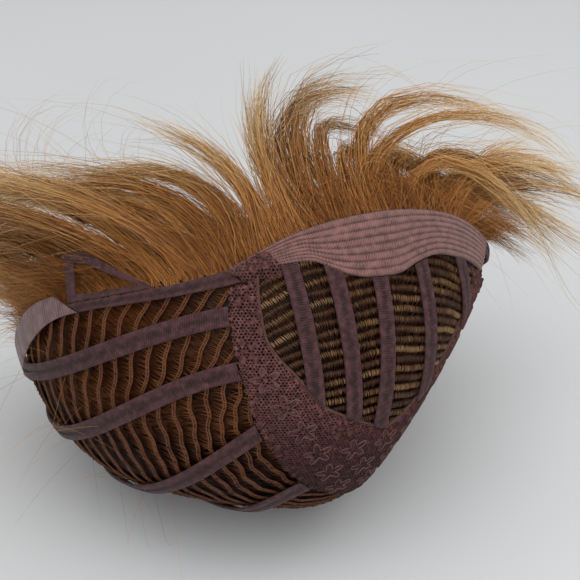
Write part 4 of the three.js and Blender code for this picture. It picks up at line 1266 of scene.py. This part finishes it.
def rim_span(first, last):
    """The runs along the rim at two bearings, the second one past the nape where it is over 180."""
    low, high = np.interp([first, turned(last)], fine_turns, rim_run)
    return low, high + (rim_run[-1] if last > 180 else 0)


print("the rim is", round(rim_run[-1]), "mm round")

# %% How one hair grows
ROOT_RUN, FOOT_STEP = 6.0, 5


def foot(bearing, inset, height):
    """Where a hair is sewn in, so far in from the rim and so far under the cloth."""
    return on_dome(polar(rim_at(bearing) - inset, bearing), height)


def grow_hair(points, bearing, inset, height, length, sway, lean, drift, curl, wave):
    """Paths of hairs that leave the rim and bend over toward their fall."""
    root = foot(bearing, inset, height)
    along = unit(foot(turned(bearing + 1), inset, height) - root)
    out = foot(bearing, inset - FOOT_STEP, height) - root
    out = unit(out - (out * along).sum(-1, keepdims=True) * along)
    outward = np.cross(out, along)
    sideways = (sway_at(bearing) + sway)[:, None]
    inward = (lean_at(bearing) + lean)[:, None]
    start = unit(out + along * sideways - outward * inward)
    fall = unit(unit(np.stack([fall_x(bearing), fall_y(bearing), fall_z(bearing)], -1)) + drift)
    paths = [root, root + out * (inset + ROOT_RUN)[:, None] * 0.5]
    step = (length - ROOT_RUN) / (points - 2)
    for i in range(points - 2):
        s = (i + 0.5) / (points - 2)
        bent = over_at(bearing) * s ** (curl_at(bearing) * curl)
        swing = wave[:, 0] * np.sin(wave[:, 1] + 2 * np.pi * s * wave[:, 2])
        way = start * (1 - bent)[:, None] + fall * bent[:, None] + outward * swing[:, None]
        paths.append(paths[-1] + unit(way) * step[:, None])
    return np.stack(paths, 1)


print("hair at the forehead is sewn in at", foot(np.zeros(1), 3.0, -6.0).round(1), "mm")

# %% Hairs as pieces
TIP_THINNING = 0.8


def kept_in_box(paths, room):
    """Shortens the hairs that would leave the box of the solids by more than some room."""
    low, high = (np.array(corner) / MM for corner in cad_box)
    outside = ((paths < low - room) | (paths > high + room)).any(-1)
    steps = np.arange(paths.shape[1])
    for k in np.flatnonzero(outside.any(-1)):
        last = max(int(np.argmax(outside[k])) - 1, 2)
        places = np.linspace(0, last, len(steps))
        paths[k] = np.stack([np.interp(places, steps, paths[k, :, a]) for a in range(3)], -1)
    return paths


def taper(points):
    """A hair keeps its thickness for most of its length and thins out to the tip."""
    return 1 - TIP_THINNING * np.linspace(0, 1, points) ** 3


def hair_piece(name, paths, thick, tint, reach=1.0):
    """Tapered hairs that stand for the locks of the solids."""
    thick = np.reshape(thick, (-1, 1)) * taper(paths.shape[1])
    strand_piece(name, paths, thick, np.reshape(tint, (-1, 1)), hair, "hair", ("hair_locks",), reach)


print("a hair's tip keeps", taper(2)[-1].round(2), "of its thickness")

# %% Short coat along the rim
HAIR_SEED = 8
COAT_COUNT, COAT_POINTS, COAT_THICK, COAT_REACH = 4800, 4, 0.11, 0.45
COAT_LEAST, COAT_MOST = 12, 40
# A real hair is about 0.04 mm from its middle to its side. Most are drawn two to three times as
# thick, so that they show.
rng = np.random.default_rng(HAIR_SEED)
coat_run = rng.uniform(0, rim_run[-1], COAT_COUNT)
bearing = bearing_at(coat_run)
coat_lean = -1.5 * np.exp(-((bearing + 66) / 15) ** 2)
coat = grow_hair(
    COAT_POINTS, bearing, rng.uniform(0.3, 5.0, COAT_COUNT), rng.uniform(-9, -2.2, COAT_COUNT),
    np.clip(length_at(bearing) * rng.uniform(0.16, 0.42, COAT_COUNT), COAT_LEAST, COAT_MOST),
    rng.normal(0, 0.16, COAT_COUNT), rng.normal(coat_lean, 0.2), rng.normal(0, 0.2, (COAT_COUNT, 3)),
    np.exp(rng.normal(0.3, 0.2, COAT_COUNT)),
    np.stack([rng.normal(0, 0.15, COAT_COUNT), rng.uniform(0, 6.3, COAT_COUNT),
              np.ones(COAT_COUNT)], -1))
coat_tint = 0.45 + 0.2 * np.sin(coat_run * 0.19) * np.sin(coat_run * 0.083)
coat_tint = coat_tint + rng.normal(0, 0.2, COAT_COUNT)
hair_piece("hair_coat", coat, COAT_THICK, np.clip(coat_tint, 0, 1), COAT_REACH)

# %% Locks: strands that follow a few guides
LOCK_POINTS, FINE_POINTS = 8, 14
LOCK_ROOM = 6.0
RIPPLE = 1.6
STRAY_SIZES, STRAY_SHARES = [1.2, 2.5, 7.0], [0.6, 0.32, 0.08]
ripple_rng = np.random.default_rng(HAIR_SEED + 1)


def locks_of_hair(runs, per_lock, layers, spread, gather, variety, points=LOCK_POINTS):
    """Strands that follow guides, one guide at each run along the rim, with their tints."""
    count, size = len(runs), len(runs) * per_lock
    who = np.repeat(np.arange(count), per_lock)

    def vary(amount, *shape):
        return rng.normal(0, amount * variety, (count, *shape))

    pitch = runs[1] - runs[0]
    bearing = bearing_at(runs)
    length = length_at(bearing) * np.exp(np.clip(vary(0.1), -0.3, 0.2))
    height = rng.uniform(-8.0, -4.0, count)
    wave = np.stack([vary(0.14), rng.uniform(0, 6.3, count), rng.uniform(0.5, 1.1, count)], -1)
    guides = grow_hair(points, bearing, np.full(count, 3.0), height, length, vary(0.09), vary(0.09),
                       vary(0.1, 3), np.exp(np.clip(vary(0.12), -0.3, 0.3)), wave)
    own_bearing = bearing_at(runs[who] + rng.normal(0, pitch * spread, size))
    own_height = np.clip(height[who] + rng.normal(0, 1.6, size), -10, -2.2)
    apart = foot(own_bearing, rng.uniform(0.5, 7.0, size), own_height) - guides[who, 0]
    layer = rng.choice(layers, size) * rng.uniform(0.9, 1.03, size)
    s = np.linspace(0, 1, points)
    place = np.clip(s * layer[:, None], 0, 1) * (points - 1)
    low_step = np.minimum(place.astype(int), points - 2)
    part = (place - low_step)[..., None]
    follow = guides[who[:, None], low_step] * (1 - part) + guides[who[:, None], low_step + 1] * part
    stray = rng.normal(0, 1, (size, 3)) * rng.choice(STRAY_SIZES, (size, 1), p=STRAY_SHARES)
    paths = follow + apart[:, None] * (1 - gather * s ** 0.8)[None, :, None]
    paths = paths + stray[:, None] * (s ** 1.6)[None, :, None]
    tint = np.clip(0.5 + vary(0.16)[who] + rng.normal(0, 0.27, size), 0, 1)
    cycles, phase = ripple_rng.uniform((0.7, 0), (1.5, 2 * np.pi), (size, 2)).T[..., None]
    ripple = np.sin(2 * np.pi * cycles * s + phase) * s
    paths = paths + ripple_rng.normal(0, RIPPLE, (size, 1, 3)) * ripple[..., None]
    return kept_in_box(paths, LOCK_ROOM), tint


print("hairs of a lock stray by", STRAY_SIZES, "mm at their tips")

# %% Locks round the rim
LOCK_KINDS = [  # pitch, share of strands, layers of length, spread, gather, variety, thickness
    (7.0, 0.66, (0.7, 0.85, 1.0), 0.5, 0.9, 1.0, 0.13),
    (11.0, 0.31, (0.8, 0.9, 1.0), 0.3, 0.94, 1.7, 0.12),
]
HAIR_PARTS = [  # name, first bearing, last bearing, strands, how tightly locks gather
    ("hair_front", -62, 46, 2700, 1.0), ("hair_left", 46, 126, 3600, 0.75),
    ("hair_right", -126, -62, 1200, 0.9), ("hair_nape", 126, 234, 700, 0.6),
]
for name, first, last, strands, tight in HAIR_PARTS:
    low, high = rim_span(first, last)
    made = []
    for pitch, share, layers, spread, gather, variety, thick in LOCK_KINDS:
        runs = np.arange(low + pitch / 2, high, pitch)
        per_lock = max(int(strands * share / len(runs)), 2)
        paths, tint = locks_of_hair(runs, per_lock, layers, spread, gather * tight, variety)
        made.append((paths, tint, np.full(len(paths), thick)))
    paths, tint, thick = (np.concatenate(part) for part in zip(*made))
    hair_piece(name, paths, thick, tint)

# %% Flyaways between the locks
FLYAWAY_PITCH, FLYAWAY_THICK = 4.0, 0.07
FLYAWAY_RUNS = np.arange(*rim_span(-60, 122), FLYAWAY_PITCH)
paths, tint = locks_of_hair(FLYAWAY_RUNS, per_lock=5, layers=(0.6, 0.8, 1.0), spread=0.8,
                            gather=0.5, variety=2.2, points=FINE_POINTS)
hair_piece("hair_flyaways", paths, FLYAWAY_THICK, tint)

# %% Wisps that curl up at the left
WISP_RUNS = np.interp([54, 60, 66, 71, 76, 82], fine_turns, rim_run)
WISP_THICK, CURL_START, CURL_GROWTH = 0.06, 0.4, 1.3


def curled_up(paths, turns):
    """Bends the outer part of hairs that lie to the left up and back, by an angle in degrees."""
    steps = np.diff(paths, axis=1)
    s = np.linspace(0, 1, steps.shape[1])
    share = (np.clip(s - CURL_START, 0, 1) / (1 - CURL_START)) ** CURL_GROWTH
    turn = np.radians(turns)[:, None] * share
    bent = np.stack([steps[..., 0] * np.cos(turn) + steps[..., 2] * np.sin(turn), steps[..., 1],
                     steps[..., 2] * np.cos(turn) - steps[..., 0] * np.sin(turn)], -1)
    return np.concatenate([paths[:, :1], paths[:, :1] + np.cumsum(bent, axis=1)], 1)


paths, tint = locks_of_hair(WISP_RUNS, per_lock=11, layers=(0.7, 0.85), spread=0.3,
                            gather=0.75, variety=0.8, points=FINE_POINTS)
paths = curled_up(paths, rng.uniform(110, 210, len(paths)))
hair_piece("hair_wisps", kept_in_box(paths, LOCK_ROOM), WISP_THICK, tint)

# %% Single hairs that stray
STRAY_COUNT, STRAY_POINTS, STRAY_THICK, STRAY_ROOM = 220, 12, 0.05, 8.0
bearing = bearing_at(rng.uniform(*rim_span(-55, 118), STRAY_COUNT))
stray = grow_hair(
    STRAY_POINTS, bearing, rng.uniform(0.5, 7.0, STRAY_COUNT), rng.uniform(-9, -3, STRAY_COUNT),
    length_at(bearing) * rng.uniform(0.6, 1.2, STRAY_COUNT), rng.normal(0, 0.35, STRAY_COUNT),
    rng.normal(-0.1, 0.3, STRAY_COUNT), rng.normal((0, 0, 0.25), 0.4, (STRAY_COUNT, 3)),
    np.exp(rng.normal(0, 0.3, STRAY_COUNT)),
    np.stack([rng.normal(0, 0.25, STRAY_COUNT), rng.uniform(0, 6.3, STRAY_COUNT),
              rng.uniform(0.3, 0.8, STRAY_COUNT)], -1))
hair_piece("hair_strays", kept_in_box(stray, STRAY_ROOM), STRAY_THICK, rng.uniform(0.3, 1, STRAY_COUNT))

# %% Loose hairs between the back rows
LOOSE_COUNT, LOOSE_ROOT, LOOSE_SAG, LOOSE_LOWEST = 26, -1.0, 0.35, 0.5
spots = polar(rng.uniform(95, 150, LOOSE_COUNT), rng.uniform(88, 140, LOOSE_COUNT))
span = rng.uniform(18, 42, (LOOSE_COUNT, 1, 1))
s = np.linspace(0, 1, LOCK_POINTS)[None, :, None]
off_dome = unit(on_dome(spots, 3.0) - on_dome(spots, 2.0))
way = unit(off_dome[:, None] * 0.5 + rng.normal(0, 0.5, (LOOSE_COUNT, 1, 3)))
loose_hair = on_dome(spots, LOOSE_ROOT)[:, None] + way * span * s
loose_hair = loose_hair - np.array([0, 0, LOOSE_SAG]) * span * s ** 2
loose_hair[..., 2] = np.maximum(loose_hair[..., 2], LOOSE_LOWEST)
strand_piece("loose_back_hair", kept_in_box(loose_hair, STRAY_ROOM), STRAY_THICK * taper(LOCK_POINTS),
             rng.uniform(0.2, 0.8, (LOOSE_COUNT, 1)), hair, "hair")

# %% [markdown]
# ## Size and finish
# The dressed wig has to stay as big as its solids, apart from hair and cloth that stand a little
# proud. Here its pieces and their triangles are counted.

pieces = [piece for piece in bpy.data.objects
          if piece.type == "MESH" and piece.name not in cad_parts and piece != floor]
triangles = [sum(len(face.vertices) - 2 for face in piece.data.polygons) for piece in pieces]
print(len(pieces), "pieces", sum(triangles), "triangles, the largest", max(triangles))
